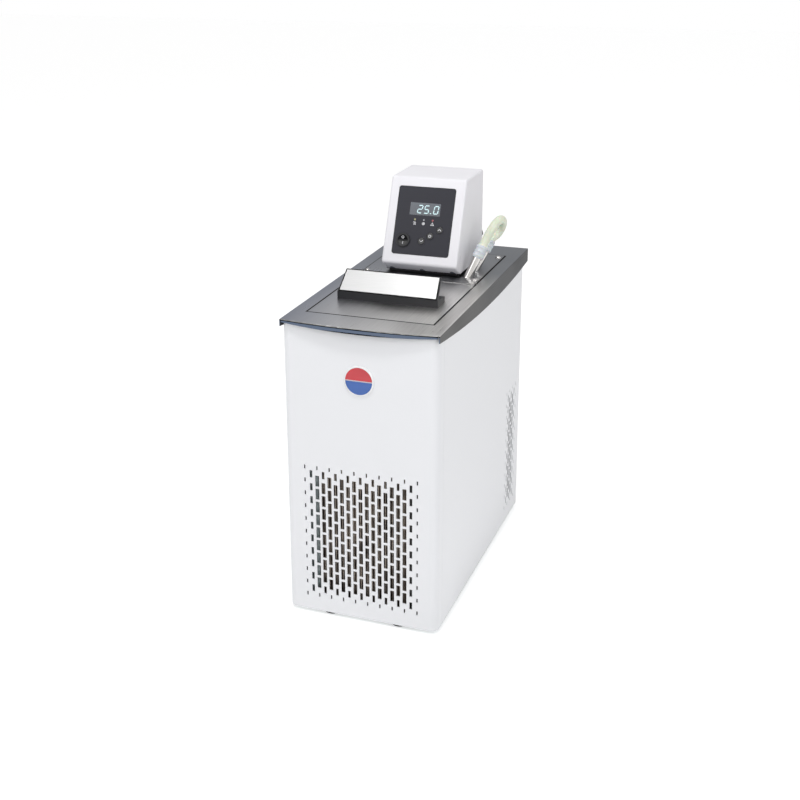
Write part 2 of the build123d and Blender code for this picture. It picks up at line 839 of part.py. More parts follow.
# Dome-headed screws of the bridge plate
dome_ball = (plate_screw_head**2 / 4 + plate_screw_dome**2) / (2 * plate_screw_dome)
with BuildPart() as plate_screws:
    with BuildSketch(Plane.XZ) as dome_profile:
        with BuildLine():
            Line((0, plate_top - plate_screw_length), (0, plate_top + plate_screw_dome))
            RadiusArc((0, plate_top + plate_screw_dome), (plate_screw_head / 2, plate_top), dome_ball)
            Polyline(
                (plate_screw_head / 2, plate_top),
                (plate_screw_shank / 2, plate_top),
                (plate_screw_shank / 2, plate_top - plate_screw_length),
                (0, plate_top - plate_screw_length),
            )
        make_face()
    dome_screw = revolve(axis=Axis.Z, mode=Mode.PRIVATE)
    with Locations(*screw_places):
        add(dome_screw)
plate_screws.part.label = "plate_screws"
export_step(plate_screws.part, "parts/plate_screws.step")

# Control head. Its front leans back over a short chin, and the control panel lies in a pocket.
head_bottom = plate_top + head_above_plate
lip_y = plate_front + lip_setback
lip_z = head_bottom + chin_rise
chin_y = lip_y + chin_run
head_front_top = lip_y + lean_run
head_top = lip_z + lean_rise
head_rear = head_front_top + head_top_depth
lean = atan2(lean_run, lean_rise)
panel_face = Plane(origin=(0, lip_y, lip_z), x_dir=(1, 0, 0), z_dir=(0, -cos(lean), sin(lean)))
panel_normal = Axis(panel_face.origin, panel_face.z_dir)
board_front = -head_wall - board_behind_wall
board_corners = [
    (x * (board_width / 2 - board_post_inset), panel_centre + s * (board_height / 2 - board_post_inset))
    for x in (-1, 1)
    for s in (-1, 1)
]
panel_surface = panel_sheet - panel_pocket
with BuildPart() as head_cover:
    with BuildSketch(Plane.YZ.offset(-head_width / 2)):
        with BuildLine():
            Polyline(
                (chin_y, head_bottom),
                (lip_y, lip_z),
                (head_front_top, head_top),
                (head_rear, head_top),
                (head_rear, head_bottom),
                close=True,
            )
        head_profile = make_face()
        fillet(head_profile.vertices().filter_by(lambda corner: corner.Y > head_bottom + 1), head_edge_radius)
    extrude(amount=head_width)
    side_edges = head_cover.edges().filter_by(lambda edge: abs(edge.center().X) > head_width / 2 - 0.01)
    fillet(side_edges.filter_by(lambda edge: edge.center().Z > head_bottom + 1), head_side_radius)
    offset(amount=-head_wall, openings=head_cover.faces().sort_by(Axis.Z)[0])
    with BuildSketch(panel_face):
        with Locations((0, panel_centre)):
            RectangleRounded(panel_width + loose_fit, panel_height + loose_fit, panel_corner)
    extrude(amount=-panel_pocket, mode=Mode.SUBTRACT)
    with BuildSketch(panel_face):
        with Locations((0, window_centre)):
            Rectangle(window_width - 2 * window_ledge, window_height - 2 * window_ledge)
        with Locations((0, lamp_height)):
            with GridLocations(lamp_pitch, 0, 3, 1):
                Circle(lamp_hole / 2)
        with Locations(*key_places.values()):
            Circle(key_diameter / 2 + key_gap)
        with Locations(switch_place):
            Circle(switch_barrel_diameter / 2 + loose_fit)
    extrude(amount=-2 * head_wall, mode=Mode.SUBTRACT)
    with BuildSketch(panel_face.offset(board_front)):
        with Locations(*board_corners):
            Circle(board_post / 2)
    extrude(amount=board_behind_wall + head_wall / 2)
    with BuildSketch(across(lip_y - head_wall)):
        with Locations((0, head_bottom)):
            with GridLocations(notch_spacing, 0, 3, 1):
                Circle(notch_diameter / 2)
    extrude(amount=-2 * head_wall - chin_run, mode=Mode.SUBTRACT)
    slit_middle = head_bottom + side_slit_rise + (side_slit_count - 1) / 2 * side_slit_pitch
    with BuildSketch(Plane.YZ):
        for place in side_slit_places:
            with Locations((lip_y + place, slit_middle)):
                with GridLocations(0, side_slit_pitch, 1, side_slit_count):
                    Rectangle(*side_slit)
    extrude(amount=head_width, both=True, mode=Mode.SUBTRACT)
head_cover.part.label = "head_cover"
export_step(head_cover.part, "parts/head_cover.step")

# Black base between the head cover and the bridge plate: foot, ledge under the cover and spigot
chin_wall = head_wall * hypot(chin_run, chin_rise) / chin_rise
head_middle = (chin_y + head_rear) / 2
head_length = head_rear - chin_y
spigot_front = chin_y + chin_wall + loose_fit
spigot_rear = head_rear - head_wall - loose_fit
with BuildPart() as head_base:
    with BuildSketch(Plane.XY.offset(plate_top)):
        with Locations((0, head_middle)):
            Rectangle(head_width - 2 * head_base_margin, head_length - 2 * head_base_margin)
    extrude(amount=head_above_plate)
    with BuildSketch(Plane.XY.offset(head_bottom)):
        with Locations((0, head_middle)):
            Rectangle(head_width - 2 * head_base_step, head_length - 2 * head_base_step)
    extrude(amount=-head_base_ledge)
    with BuildSketch(Plane.XY.offset(head_bottom)):
        with Locations((0, (spigot_front + spigot_rear) / 2)):
            RectangleRounded(
                head_width - 2 * (head_wall + loose_fit), spigot_rear - spigot_front, head_side_radius - head_wall
            )
    extrude(amount=head_base_spigot)
    with BuildSketch(Plane.XY.offset(plate_top)):
        with Locations((0, pump_y)):
            Circle(shaft_hole / 2)
        with Locations(*heater_legs, probe_place):
            Circle(heater_diameter / 2 + loose_fit)
    extrude(amount=head_above_plate + head_base_spigot, mode=Mode.SUBTRACT)
head_base.part.label = "head_base"
export_step(head_base.part, "parts/head_base.step")

# Control panel: dark sheet in the head's pocket, with a raised rim round each key
with BuildPart() as control_panel:
    with BuildSketch(panel_face.offset(-panel_pocket)):
        with Locations((0, panel_centre)):
            RectangleRounded(panel_width - loose_fit, panel_height - loose_fit, panel_corner)
    extrude(amount=panel_sheet)
    with BuildSketch(panel_face.offset(panel_surface)):
        with Locations(*key_places.values()):
            Circle(key_diameter / 2 + key_gap + key_rim_width)
    extrude(amount=key_rim_height)
    with BuildSketch(panel_face.offset(-panel_pocket)):
        with Locations((0, window_centre)):
            Rectangle(window_width, window_height)
        with Locations((0, lamp_height)):
            with GridLocations(lamp_pitch, 0, 3, 1):
                Circle(lamp_diameter / 2 + loose_fit / 2)
        with Locations(*key_places.values()):
            Circle(key_diameter / 2 + key_gap)
        with Locations(switch_place):
            Circle(switch_barrel_diameter / 2 + loose_fit)
    extrude(amount=panel_sheet + key_rim_height, mode=Mode.SUBTRACT)
control_panel.part.label = "control_panel"
export_step(control_panel.part, "parts/control_panel.step")

# Display window and the three lamp lenses lie in the panel's holes
with BuildPart() as display_window:
    with BuildSketch(panel_face.offset(-panel_pocket)):
        with Locations((0, window_centre)):
            Rectangle(window_width - loose_fit, window_height - loose_fit)
    extrude(amount=window_thickness)
display_window.part.label = "display_window"
export_step(display_window.part, "parts/display_window.step")

with BuildPart() as lamp_lenses:
    with BuildSketch(panel_face.offset(-panel_pocket)):
        with Locations((0, lamp_height)):
            with GridLocations(lamp_pitch, 0, 3, 1):
                Circle(lamp_diameter / 2)
    extrude(amount=lamp_thickness)
lamp_lenses.part.label = "lamp_lenses"
export_step(lamp_lenses.part, "parts/lamp_lenses.step")

# Keys: domed caps with a collar behind the wall, so that they can't fall out
collar_front = -head_wall - loose_fit
key_tail = collar_front - key_collar_thickness - key_stem_length
for key_name, place in key_places.items():
    with BuildPart() as key:
        with BuildSketch(panel_face.offset(collar_front)):
            with Locations(place):
                Circle(key_diameter / 2)
        extrude(amount=panel_surface + key_proud - collar_front)
        crown = key.faces().filter_by(GeomType.PLANE).sort_by(panel_normal)[-1]
        chamfer(crown.edges(), key_dome / 2, key_dome)
        with BuildSketch(panel_face.offset(collar_front)):
            with Locations(place):
                Circle(key_collar / 2)
        extrude(amount=-key_collar_thickness)
        with BuildSketch(panel_face.offset(key_tail)):
            with Locations(place):
                Circle(key_stem / 2)
        extrude(amount=key_stem_length)
    key.part.label = key_name
    export_step(key.part, f"parts/{key_name}.step")

# Power switch: a round bezel with a barrel through the wall, and a rocker on two pins
switch_bore = switch_barrel_diameter - 2 * switch_wall
pivot_place = (*switch_place, panel_surface + rocker_pivot_height)
pivot_face = panel_face.offset(panel_surface + rocker_pivot_height)
pivot_origin = panel_face.from_local_coords(pivot_place)
with BuildPart() as switch_bezel:
    with BuildSketch(panel_face.offset(panel_surface)):
        with Locations(switch_place):
            Circle(switch_bezel_diameter / 2)
    extrude(amount=switch_bezel_height)
    chamfer(switch_bezel.edges().sort_by(panel_normal)[-1], switch_bezel_height / 3)
    with BuildSketch(panel_face.offset(panel_surface - switch_barrel_depth)):
        with Locations(switch_place):
            Circle(switch_barrel_diameter / 2)
    extrude(amount=switch_barrel_depth)
    with BuildSketch(panel_face.offset(panel_surface + switch_bezel_height)):
        with Locations(switch_place):
            Circle(switch_bore / 2)
    extrude(amount=-switch_bezel_height - switch_barrel_depth + switch_floor, mode=Mode.SUBTRACT)
    with BuildSketch(Plane(origin=pivot_origin, x_dir=panel_face.y_dir, z_dir=(1, 0, 0))):
        Circle(rocker_pin / 2 + shaft_fit)
    extrude(amount=switch_bore / 2 + rocker_pin_seat, both=True, mode=Mode.SUBTRACT)
switch_bezel.part.label = "switch_bezel"
export_step(switch_bezel.part, "parts/switch_bezel.step")

rocker_angle = lean - radians(rocker_tilt)
rocker_face = Plane(
    origin=pivot_origin, x_dir=(1, 0, 0), z_dir=(0, -cos(rocker_angle), sin(rocker_angle))
)
rocker_side = Plane(origin=pivot_origin, x_dir=rocker_face.y_dir, z_dir=(1, 0, 0))
rocker_radius = switch_bore / 2 - rocker_gap
with BuildPart() as switch_rocker:
    with BuildSketch(rocker_side.offset(-switch_bore / 2)):
        with BuildLine():
            Polyline(
                (-switch_bore / 2, -rocker_depth),
                (switch_bore / 2, -rocker_depth),
                (switch_bore / 2, rocker_edge_rise),
                (0, rocker_valley),
                (-switch_bore / 2, rocker_edge_rise),
                close=True,
            )
        make_face()
    extrude(amount=switch_bore)
    with Locations(rocker_face):
        Sphere(rocker_radius, mode=Mode.INTERSECT)
    with BuildSketch(rocker_side):
        Circle(rocker_pin / 2)
    extrude(amount=switch_bore / 2 + rocker_pin_seat - loose_fit, both=True)
switch_rocker.part.label = "switch_rocker"
export_step(switch_rocker.part, "parts/switch_rocker.step")

# Board behind the panel, on the cover's posts, with the key switches and the display
with BuildPart() as control_board:
    with BuildSketch(panel_face.offset(board_front)):
        with Locations((0, panel_centre)):
            Rectangle(board_width, board_height)
        with Locations(switch_place):
            Circle(switch_barrel_diameter / 2 + board_sheet, mode=Mode.SUBTRACT)
    extrude(amount=-board_sheet)
    with BuildSketch(panel_face.offset(board_front)):
        with Locations(*key_places.values()):
            Rectangle(key_switch, key_switch)
    extrude(amount=key_switch_height)
    with BuildSketch(panel_face.offset(board_front)):
        with Locations((0, window_centre)):
            Rectangle(
                window_width - 2 * (window_ledge + loose_fit), window_height - 2 * (window_ledge + loose_fit)
            )
    extrude(amount=-board_front - panel_pocket - display_setback)
control_board.part.label = "control_board"
export_step(control_board.part, "parts/control_board.step")

# Pump motor stands on the base inside the head
motor_bottom = head_bottom + head_base_spigot
with BuildPart() as pump_motor:
    with BuildSketch(Plane.XY.offset(motor_bottom)):
        with Locations((0, pump_y)):
            Circle(motor_diameter / 2)
    extrude(amount=motor_height)
    chamfer(pump_motor.edges().group_by(Axis.Z)[-1], motor_edge)
    with BuildSketch(Plane.XY.offset(motor_bottom)):
        with Locations((0, pump_y)):
            Circle(shaft_diameter / 2 + shaft_fit)
    extrude(amount=motor_socket, mode=Mode.SUBTRACT)
pump_motor.part.label = "pump_motor"
export_step(pump_motor.part, "parts/pump_motor.step")

# Wedge-shaped hood over the sockets at the back of the head
with BuildPart() as socket_hood:
    with BuildSketch(Plane.YZ.offset(hood_x + hood_width / 2)):
        with BuildLine():
            Polyline(
                (head_rear, head_bottom + hood_top),
                (head_rear + hood_reach, head_bottom + hood_tip),
                (head_rear, head_bottom + hood_bottom),
                close=True,
            )
        make_face()
    extrude(amount=-hood_width)
    offset(amount=-hood_wall, openings=socket_hood.faces().sort_by(Axis.Y)[0])
socket_hood.part.label = "socket_hood"
export_step(socket_hood.part, "parts/socket_hood.step")

# Pump: column under the bridge plate, volute housing, shaft and impeller
housing_bottom = bath_floor + pump_above_floor
housing_top = housing_bottom + pump_height
outlet_z = housing_bottom + pump_height / 2
with BuildPart() as pump_column:
    with BuildSketch(Plane.XY.offset(panel_top)):
        with Locations((0, pump_y)):
            Circle(column_flange / 2)
    extrude(amount=-column_flange_thickness)
    with BuildSketch(Plane.XY.offset(housing_top)):
        with Locations((0, pump_y)):
            Circle(column_diameter / 2)
    extrude(amount=panel_top - column_flange_thickness - housing_top)
    with BuildSketch(Plane.XY.offset(panel_top)):
        with Locations((0, pump_y)):
            Circle(column_bore / 2)
    extrude(amount=housing_top + column_bearing - panel_top, mode=Mode.SUBTRACT)
    with BuildSketch(Plane.XY.offset(housing_top)):
        with Locations((0, pump_y)):
            Circle(shaft_diameter / 2 + shaft_fit)
    extrude(amount=column_bearing, mode=Mode.SUBTRACT)
pump_column.part.label = "pump_column"
export_step(pump_column.part, "parts/pump_column.step")

with BuildPart() as pump_housing:
    with BuildSketch(Plane.XY.offset(housing_bottom)):
        with Locations((0, pump_y)):
            Circle(pump_diameter / 2)
    extrude(amount=pump_height)
    with BuildSketch(Plane.XY.offset(housing_bottom + pump_wall)):
        with Locations((0, pump_y)):
            Circle(pump_diameter / 2 - pump_wall)
    extrude(amount=pump_height - 2 * pump_wall, mode=Mode.SUBTRACT)
    with BuildSketch(Plane.XY.offset(housing_bottom)):
        with Locations((0, pump_y)):
            Circle(pump_inlet / 2)
    extrude(amount=pump_wall, mode=Mode.SUBTRACT)
    with BuildSketch(Plane.XY.offset(housing_top)):
        with Locations((0, pump_y)):
            Circle(shaft_hole / 2)
    extrude(amount=-pump_wall, mode=Mode.SUBTRACT)
    with BuildSketch(Plane.YZ):
        with Locations((pump_y, outlet_z)):
            Circle(pipe_diameter / 2 + shaft_fit)
    extrude(amount=pump_diameter, mode=Mode.SUBTRACT)
pump_housing.part.label = "pump_housing"
export_step(pump_housing.part, "parts/pump_housing.step")

impeller_top = housing_top - pump_wall - impeller_gap
impeller_bottom = impeller_top - impeller_disc - impeller_blade_height
with BuildPart() as impeller:
    with BuildSketch(Plane.XY.offset(impeller_top)):
        with Locations((0, pump_y)):
            Circle(impeller_diameter / 2)
    extrude(amount=-impeller_disc)
    with BuildSketch(Plane.XY.offset(impeller_bottom)):
        with Locations((0, pump_y)):
            Circle(impeller_hub / 2)
            with PolarLocations(0, impeller_blades):
                Rectangle(impeller_diameter / 2, impeller_blade_thickness, align=(Align.MIN, Align.CENTER))
    extrude(amount=impeller_blade_height)
    with BuildSketch(Plane.XY.offset(impeller_top)):
        with Locations((0, pump_y)):
            Circle(shaft_diameter / 2 + shaft_fit)
    extrude(amount=-impeller_disc - impeller_blade_height + impeller_floor, mode=Mode.SUBTRACT)
impeller.part.label = "impeller"
export_step(impeller.part, "parts/impeller.step")

with BuildPart() as pump_shaft:
    with BuildSketch(Plane.XY.offset(impeller_bottom + impeller_floor)):
        with Locations((0, pump_y)):
            Circle(shaft_diameter / 2)
    extrude(amount=motor_bottom + motor_socket - loose_fit - impeller_bottom - impeller_floor)
pump_shaft.part.label = "pump_shaft"
export_step(pump_shaft.part, "parts/pump_shaft.step")

# Riser from the pump to the front nozzle
riser_start = sqrt((pump_diameter / 2 - pump_wall) ** 2 - (pipe_diameter / 2) ** 2) + pump_wall / 2
riser_route = [
    (riser_start, pump_y, outlet_z),
    (nozzle_x, pump_y, outlet_z),
    (nozzle_x, nozzle_places[0][1], outlet_z),
    (nozzle_x, nozzle_places[0][1], panel_top),
]
with BuildPart() as pump_riser:
    add_pipe(riser_route, pipe_diameter, pipe_bend)
    add_pipe(riser_route, pipe_diameter - 2 * pipe_wall, pipe_bend, Mode.SUBTRACT)
pump_riser.part.label = "pump_riser"
export_step(pump_riser.part, "parts/pump_riser.step")

# Heater: a U of heating tube with a sealing collar on each leg under the plate
heater_top = head_bottom + head_base_spigot + heater_end
with BuildPart() as heater:
    add_pipe(
        [
            (*heater_legs[0], heater_top),
            (*heater_legs[0], bath_floor + heater_low),
            (*heater_legs[1], bath_floor + heater_low),
            (*heater_legs[1], heater_top),
        ],
        heater_diameter,
        heater_bend,
    )
    with BuildSketch(Plane.XY.offset(panel_top)):
        with Locations(*heater_legs):
            Circle(collar_diameter / 2)
    extrude(amount=-collar_height)
heater.part.label = "heater"
export_step(heater.part, "parts/heater.step")

# Temperature probe, with the same collar
with BuildPart() as temperature_probe:
    with BuildSketch(Plane.XY.offset(plate_top + head_above_plate)):
        with Locations(probe_place):
            Circle(probe_diameter / 2)
    extrude(amount=-probe_length)
    with BuildSketch(Plane.XY.offset(panel_top)):
        with Locations(probe_place):
            Circle(collar_diameter / 2)
    extrude(amount=-collar_height)
temperature_probe.part.label = "temperature_probe"
export_step(temperature_probe.part, "parts/temperature_probe.step")

# Low-level float on its rod
rod_bottom = panel_top - float_rod_length
with BuildPart() as float_rod:
    with BuildSketch(Plane.XY.offset(rod_bottom)):
        with Locations(float_place):
            Circle(float_rod_diameter / 2)
    extrude(amount=float_rod_length)
    with BuildSketch(Plane.XY.offset(rod_bottom)):
        with Locations(float_place):
            Circle(float_stop / 2)
    extrude(amount=float_stop_height)
    with BuildSketch(Plane.XY.offset(panel_top)):
        with Locations(float_place):
            Circle(collar_diameter / 2)
    extrude(amount=-collar_height)
float_rod.part.label = "float_rod"
export_step(float_rod.part, "parts/float_rod.step")

with BuildPart() as level_float:
    with BuildSketch(Plane.XY.offset(rod_bottom + float_stop_height)):
        with Locations(float_place):
            Circle(float_diameter / 2)
            Circle(float_rod_diameter / 2 + float_clearance, mode=Mode.SUBTRACT)
    extrude(amount=float_height)
level_float.part.label = "level_float"
export_step(level_float.part, "parts/level_float.step")

# Pump nozzles: leaning tubes on the bridge plate, each with a barbed nipple
nozzle_direction = Vector(nozzle_lean_x, nozzle_lean_y, 1).normalized()
nozzle_names = ("nozzle_front", "nozzle_rear")
stub_lengths = (plate_sheet, rear_stub_length)
barb_pitch = nipple_length / barb_count
barb_taper = degrees(atan2((barb_diameter - nipple_diameter) / 2, barb_pitch))
for nozzle_name, place, stub in zip(nozzle_names, nozzle_places, stub_lengths):
    nozzle_axis = Plane(origin=(*place, plate_top), x_dir=(1, 0, -nozzle_lean_x), z_dir=nozzle_direction)
    with BuildPart() as nozzle:
        with BuildSketch(nozzle_axis.offset(-nozzle_diameter)):
            Circle(nozzle_diameter / 2)
        extrude(amount=nozzle_length + nozzle_diameter)
        with BuildSketch(nozzle_axis.offset(nozzle_length)):
            Circle(nipple_diameter / 2)
        extrude(amount=nipple_length)
        for i in range(barb_count):
            with BuildSketch(nozzle_axis.offset(nozzle_length + i * barb_pitch)):
                Circle(barb_diameter / 2)
            extrude(amount=barb_pitch, taper=barb_taper)
        split(bisect_by=Plane.XY.offset(plate_top), keep=Keep.TOP)
        with BuildSketch(Plane.XY.offset(plate_top)):
            with Locations(place):
                Circle(pipe_diameter / 2)
        extrude(amount=-stub)
        with BuildSketch(nozzle_axis):
            Circle(nozzle_bore / 2)
        extrude(amount=nozzle_length + nipple_length, mode=Mode.SUBTRACT)
        with BuildSketch(Plane.XY.offset(plate_top - stub)):
            with Locations(place):
                Circle(pipe_diameter / 2 - pipe_wall)
        extrude(amount=stub + pipe_wall, mode=Mode.SUBTRACT)
    nozzle.part.label = nozzle_name
    export_step(nozzle.part, f"parts/{nozzle_name}.step")

# Bypass hose: a U from nozzle to nozzle, its swollen ends pushed over the nipples
base_front, base_back = (Vector(*place, plate_top) for place in nozzle_places)
bend_start = nozzle_length + nipple_length + hose_straight
nozzle_step = (base_back - base_front).dot(nozzle_direction)
hose_side = base_back - base_front - nozzle_direction * nozzle_step
hose_out = base_front + nozzle_direction * bend_start
hose_in = hose_out + hose_side
hose_apex = hose_out + hose_side / 2 + nozzle_direction * hose_side.length / 2
sleeve_ends = [base + nozzle_direction * nozzle_length for base in (base_front, base_back)]
nipple_ends = [base + nozzle_direction * (nozzle_length + nipple_length) for base in (base_front, base_back)]
with BuildPart() as bypass_hose:
    with BuildLine() as hose_route:
        Line(nipple_ends[0], hose_out)
        ThreePointArc(hose_out, hose_apex, hose_in)
        Line(hose_in, nipple_ends[1])
    with BuildSketch(Plane(hose_route.line ^ 0)):
        Circle(hose_diameter / 2)
        Circle(hose_bore / 2, mode=Mode.SUBTRACT)
    sweep(path=hose_route.line)
    for sleeve_end in sleeve_ends:
        with BuildSketch(Plane(origin=sleeve_end, z_dir=nozzle_direction)):
            Circle(hose_sleeve_diameter / 2)
            Circle(hose_sleeve_bore / 2, mode=Mode.SUBTRACT)
        extrude(amount=nipple_length)
        with BuildSketch(Plane(origin=sleeve_end, z_dir=nozzle_direction).offset(nipple_length)):
            Circle(hose_sleeve_diameter / 2)
            Circle(hose_bore / 2, mode=Mode.SUBTRACT)
        extrude(amount=hose_shoulder)
bypass_hose.part.label = "bypass_hose"
export_step(bypass_hose.part, "parts/bypass_hose.step")

# Foam jacket round the bath, with the evaporator foamed in
with BuildPart() as bath_jacket:
    with BuildSketch(Plane.XY.offset(bath_floor - tank_sheet - jacket_floor)):
        with Locations((0, bath_middle)):
            RectangleRounded(
                bath_width + 2 * (tank_sheet + jacket_wall), bath_length + 2 * (tank_sheet + jacket_wall), bath_corner
            )
        with Locations((drain_x, drain_y)):
            Circle(drain_tube / 2 + loose_fit, mode=Mode.SUBTRACT)
    extrude(amount=jacket_floor + tank_sheet + bath_depth - jacket_top_gap)
    with BuildSketch(Plane.XY.offset(bath_floor - tank_sheet)):
        with Locations((0, bath_middle)):
            RectangleRounded(
                bath_width + 2 * (tank_sheet + loose_fit),
                bath_length + 2 * (tank_sheet + loose_fit),
                bath_corner + tank_sheet + loose_fit,
            )
    extrude(amount=bath_depth, mode=Mode.SUBTRACT)
bath_jacket.part.label = "bath_jacket"
export_step(bath_jacket.part, "parts/bath_jacket.step")
jacket_bottom = bath_floor - tank_sheet - jacket_floor

# Condenser behind the front grille: a block of tube with a comb of fins in front
condenser_front = body_front + condenser_from_front
condenser_back = condenser_front + condenser_depth
condenser_low = pan_floor + condenser_bottom
with BuildPart() as condenser:
    with BuildSketch(Plane.XY.offset(condenser_low)):
        with Locations((0, condenser_front + fin_depth)):
            Rectangle(condenser_width, condenser_depth - fin_depth, align=(Align.CENTER, Align.MIN))
        with Locations((0, condenser_front + fin_depth / 2)):
            with GridLocations(condenser_width / fin_count, 0, fin_count, 1):
                Rectangle(fin_thickness, fin_depth)
    extrude(amount=condenser_height)
condenser.part.label = "condenser"
export_step(condenser.part, "parts/condenser.step")

# End plates of the condenser, with a flange at the front and feet on the pan
end_plate_x = condenser_width / 2 + end_plate_sheet
with BuildPart() as condenser_frame:
    for side in (-1, 1):
        with BuildSketch(Plane.XY.offset(pan_floor)):
            with Locations((side * (end_plate_x - end_plate_sheet / 2), (condenser_front + condenser_back) / 2)):
                Rectangle(end_plate_sheet, condenser_depth)
            with Locations((side * (end_plate_x + end_plate_foot / 2), condenser_front + end_plate_sheet / 2)):
                Rectangle(end_plate_foot, end_plate_sheet)
        extrude(amount=condenser_bottom + condenser_height)
        with BuildSketch(Plane.XY.offset(pan_floor)):
            with Locations((side * (end_plate_x + end_plate_foot / 2), (condenser_front + condenser_back) / 2)):
                Rectangle(end_plate_foot, condenser_depth)
        extrude(amount=end_plate_sheet)
condenser_frame.part.label = "condenser_frame"
export_step(condenser_frame.part, "parts/condenser_frame.step")

# Fan shroud with its ring and the spider that carries the motor
fan_z = condenser_low + condenser_height / 2
ring_back = condenser_back + shroud_sheet + shroud_ring_depth
spider_back = ring_back + arm_sheet
ring_inner = fan_diameter / 2 + fan_tip_gap
with BuildPart() as fan_shroud:
    with BuildSketch(across(condenser_back)):
        with Locations((0, fan_z)):
            Rectangle(shroud_width, condenser_height)
            Circle(ring_inner, mode=Mode.SUBTRACT)
    extrude(amount=-shroud_sheet)
    with BuildSketch(across(condenser_back)):
        with Locations((0, fan_z)):
            Circle(ring_inner + shroud_sheet)
            Circle(ring_inner, mode=Mode.SUBTRACT)
    extrude(amount=-shroud_sheet - shroud_ring_depth)
    with BuildSketch(across(ring_back)):
        with Locations((0, fan_z)):
            Circle(fan_motor_diameter / 2)
            with Locations(Rotation(0, 0, 45), Rotation(0, 0, -45)):
                Rectangle(2 * ring_inner + shroud_sheet, arm_width)
            Circle(fan_shaft / 2 + fan_running_gap, mode=Mode.SUBTRACT)
    extrude(amount=-arm_sheet)
fan_shroud.part.label = "fan_shroud"
export_step(fan_shroud.part, "parts/fan_shroud.step")

with BuildPart() as fan_motor:
    with BuildSketch(across(spider_back)):
        with Locations((0, fan_z)):
            Circle(fan_motor_diameter / 2)
    extrude(amount=-fan_motor_length)
    with BuildSketch(across(spider_back)):
        with Locations((0, fan_z)):
            Circle(fan_shaft / 2 + shaft_fit)
    extrude(amount=-fan_motor_length / 2, mode=Mode.SUBTRACT)
fan_motor.part.label = "fan_motor"
export_step(fan_motor.part, "parts/fan_motor.step")

# Fan: pitched blades trimmed to a circle, then the hub and the shaft
hub_back = ring_back - fan_running_gap
hub_front = hub_back - fan_hub_height
fan_centre = (0, (hub_front + hub_back) / 2, fan_z)
with BuildPart() as fan_rotor:
    for i in range(fan_blades):
        turn = radians(360 / fan_blades * i)
        out = Vector(cos(turn), 0, sin(turn))
        chord = Vector(-sin(turn) * cos(radians(fan_blade_pitch)), sin(radians(fan_blade_pitch)),
                       cos(turn) * cos(radians(fan_blade_pitch)))
        with BuildSketch(Plane(origin=fan_centre, x_dir=out, z_dir=out.cross(chord))):
            Rectangle(fan_diameter, fan_blade_chord, align=(Align.MIN, Align.CENTER))
        extrude(amount=fan_blade_thickness / 2, both=True)
    with BuildSketch(across(hub_front)):
        with Locations((0, fan_z)):
            Circle(fan_diameter / 2)
    extrude(amount=-fan_hub_height, mode=Mode.INTERSECT)
    with BuildSketch(across(hub_front)):
        with Locations((0, fan_z)):
            Circle(fan_hub_diameter / 2)
    extrude(amount=-fan_hub_height)
    with BuildSketch(across(hub_front)):
        with Locations((0, fan_z)):
            Circle(fan_shaft / 2)
    extrude(amount=hub_front - spider_back - fan_motor_length / 2 + loose_fit)
fan_rotor.part.label = "fan_rotor"
export_step(fan_rotor.part, "parts/fan_rotor.step")

# Hermetic compressor: domed shell with a seam, on a base plate
compressor_place = (compressor_x, body_rear - compressor_from_rear)
plate_z = pan_floor + mount_height
shell_bottom = plate_z + compressor_plate
shell_top = shell_bottom + compressor_height
mount_places = [
    (compressor_x + x * (compressor_plate_size[0] / 2 - mount_inset),
     compressor_place[1] + y * (compressor_plate_size[1] / 2 - mount_inset))
    for x in (-1, 1)
    for y in (-1, 1)
]
with BuildPart() as compressor:
    with BuildSketch(Plane.XY.offset(shell_bottom)):
        with Locations(compressor_place):
            Circle(compressor_diameter / 2)
    extrude(amount=compressor_height)
    fillet(compressor.edges().filter_by(GeomType.CIRCLE), compressor_dome)
    with BuildSketch(Plane.XY.offset(shell_bottom + compressor_seam_height)):
        with Locations(compressor_place):
            Circle(compressor_diameter / 2 + compressor_seam_width)
    extrude(amount=compressor_seam_thickness)
    with BuildSketch(Plane.XY.offset(plate_z)):
        with Locations(compressor_place):
            Rectangle(*compressor_plate_size)
        with Locations(*mount_places):
            Circle(mount_stud / 2 + loose_fit, mode=Mode.SUBTRACT)
    extrude(amount=compressor_plate)
compressor.part.label = "compressor"
export_step(compressor.part, "parts/compressor.step")

with BuildPart() as compressor_mounts:
    with BuildSketch(Plane.XY.offset(pan_floor)):
        with Locations(*mount_places):
            Circle(mount_diameter / 2)
    extrude(amount=mount_height)
    with BuildSketch(Plane.XY.offset(plate_z)):
        with Locations(*mount_places):
            Circle(mount_stud / 2)
    extrude(amount=2 * compressor_plate)
compressor_mounts.part.label = "compressor_mounts"
export_step(compressor_mounts.part, "parts/compressor_mounts.step")

# Terminal cover sits on the compressor's seam, at its front
seam_top = shell_bottom + compressor_seam_height + compressor_seam_thickness
with BuildPart() as terminal_cover:
    with BuildSketch(Plane.XY.offset(seam_top)):
        with Locations((compressor_x, compressor_place[1] - compressor_diameter / 2)):
            Rectangle(terminal_size[0], 2 * terminal_size[1])
        with Locations(compressor_place):
            Circle(compressor_diameter / 2 + loose_fit, mode=Mode.SUBTRACT)
    extrude(amount=terminal_size[2])
terminal_cover.part.label = "terminal_cover"
export_step(terminal_cover.part, "parts/terminal_cover.step")

# Refrigerant lines: hot gas to the condenser, liquid through the drier, and suction
pipe_y = (condenser_front + condenser_back) / 2
condenser_top = condenser_low + condenser_height
with BuildPart() as discharge_pipe:
    add_pipe(
        [
            (0, compressor_place[1], shell_top),
            (0, compressor_place[1], discharge_height),
            (0, pipe_y, discharge_height),
            (0, pipe_y, condenser_top),
        ],
        line_diameter,
        line_bend,
    )
discharge_pipe.part.label = "discharge_pipe"
export_step(discharge_pipe.part, "parts/discharge_pipe.step")

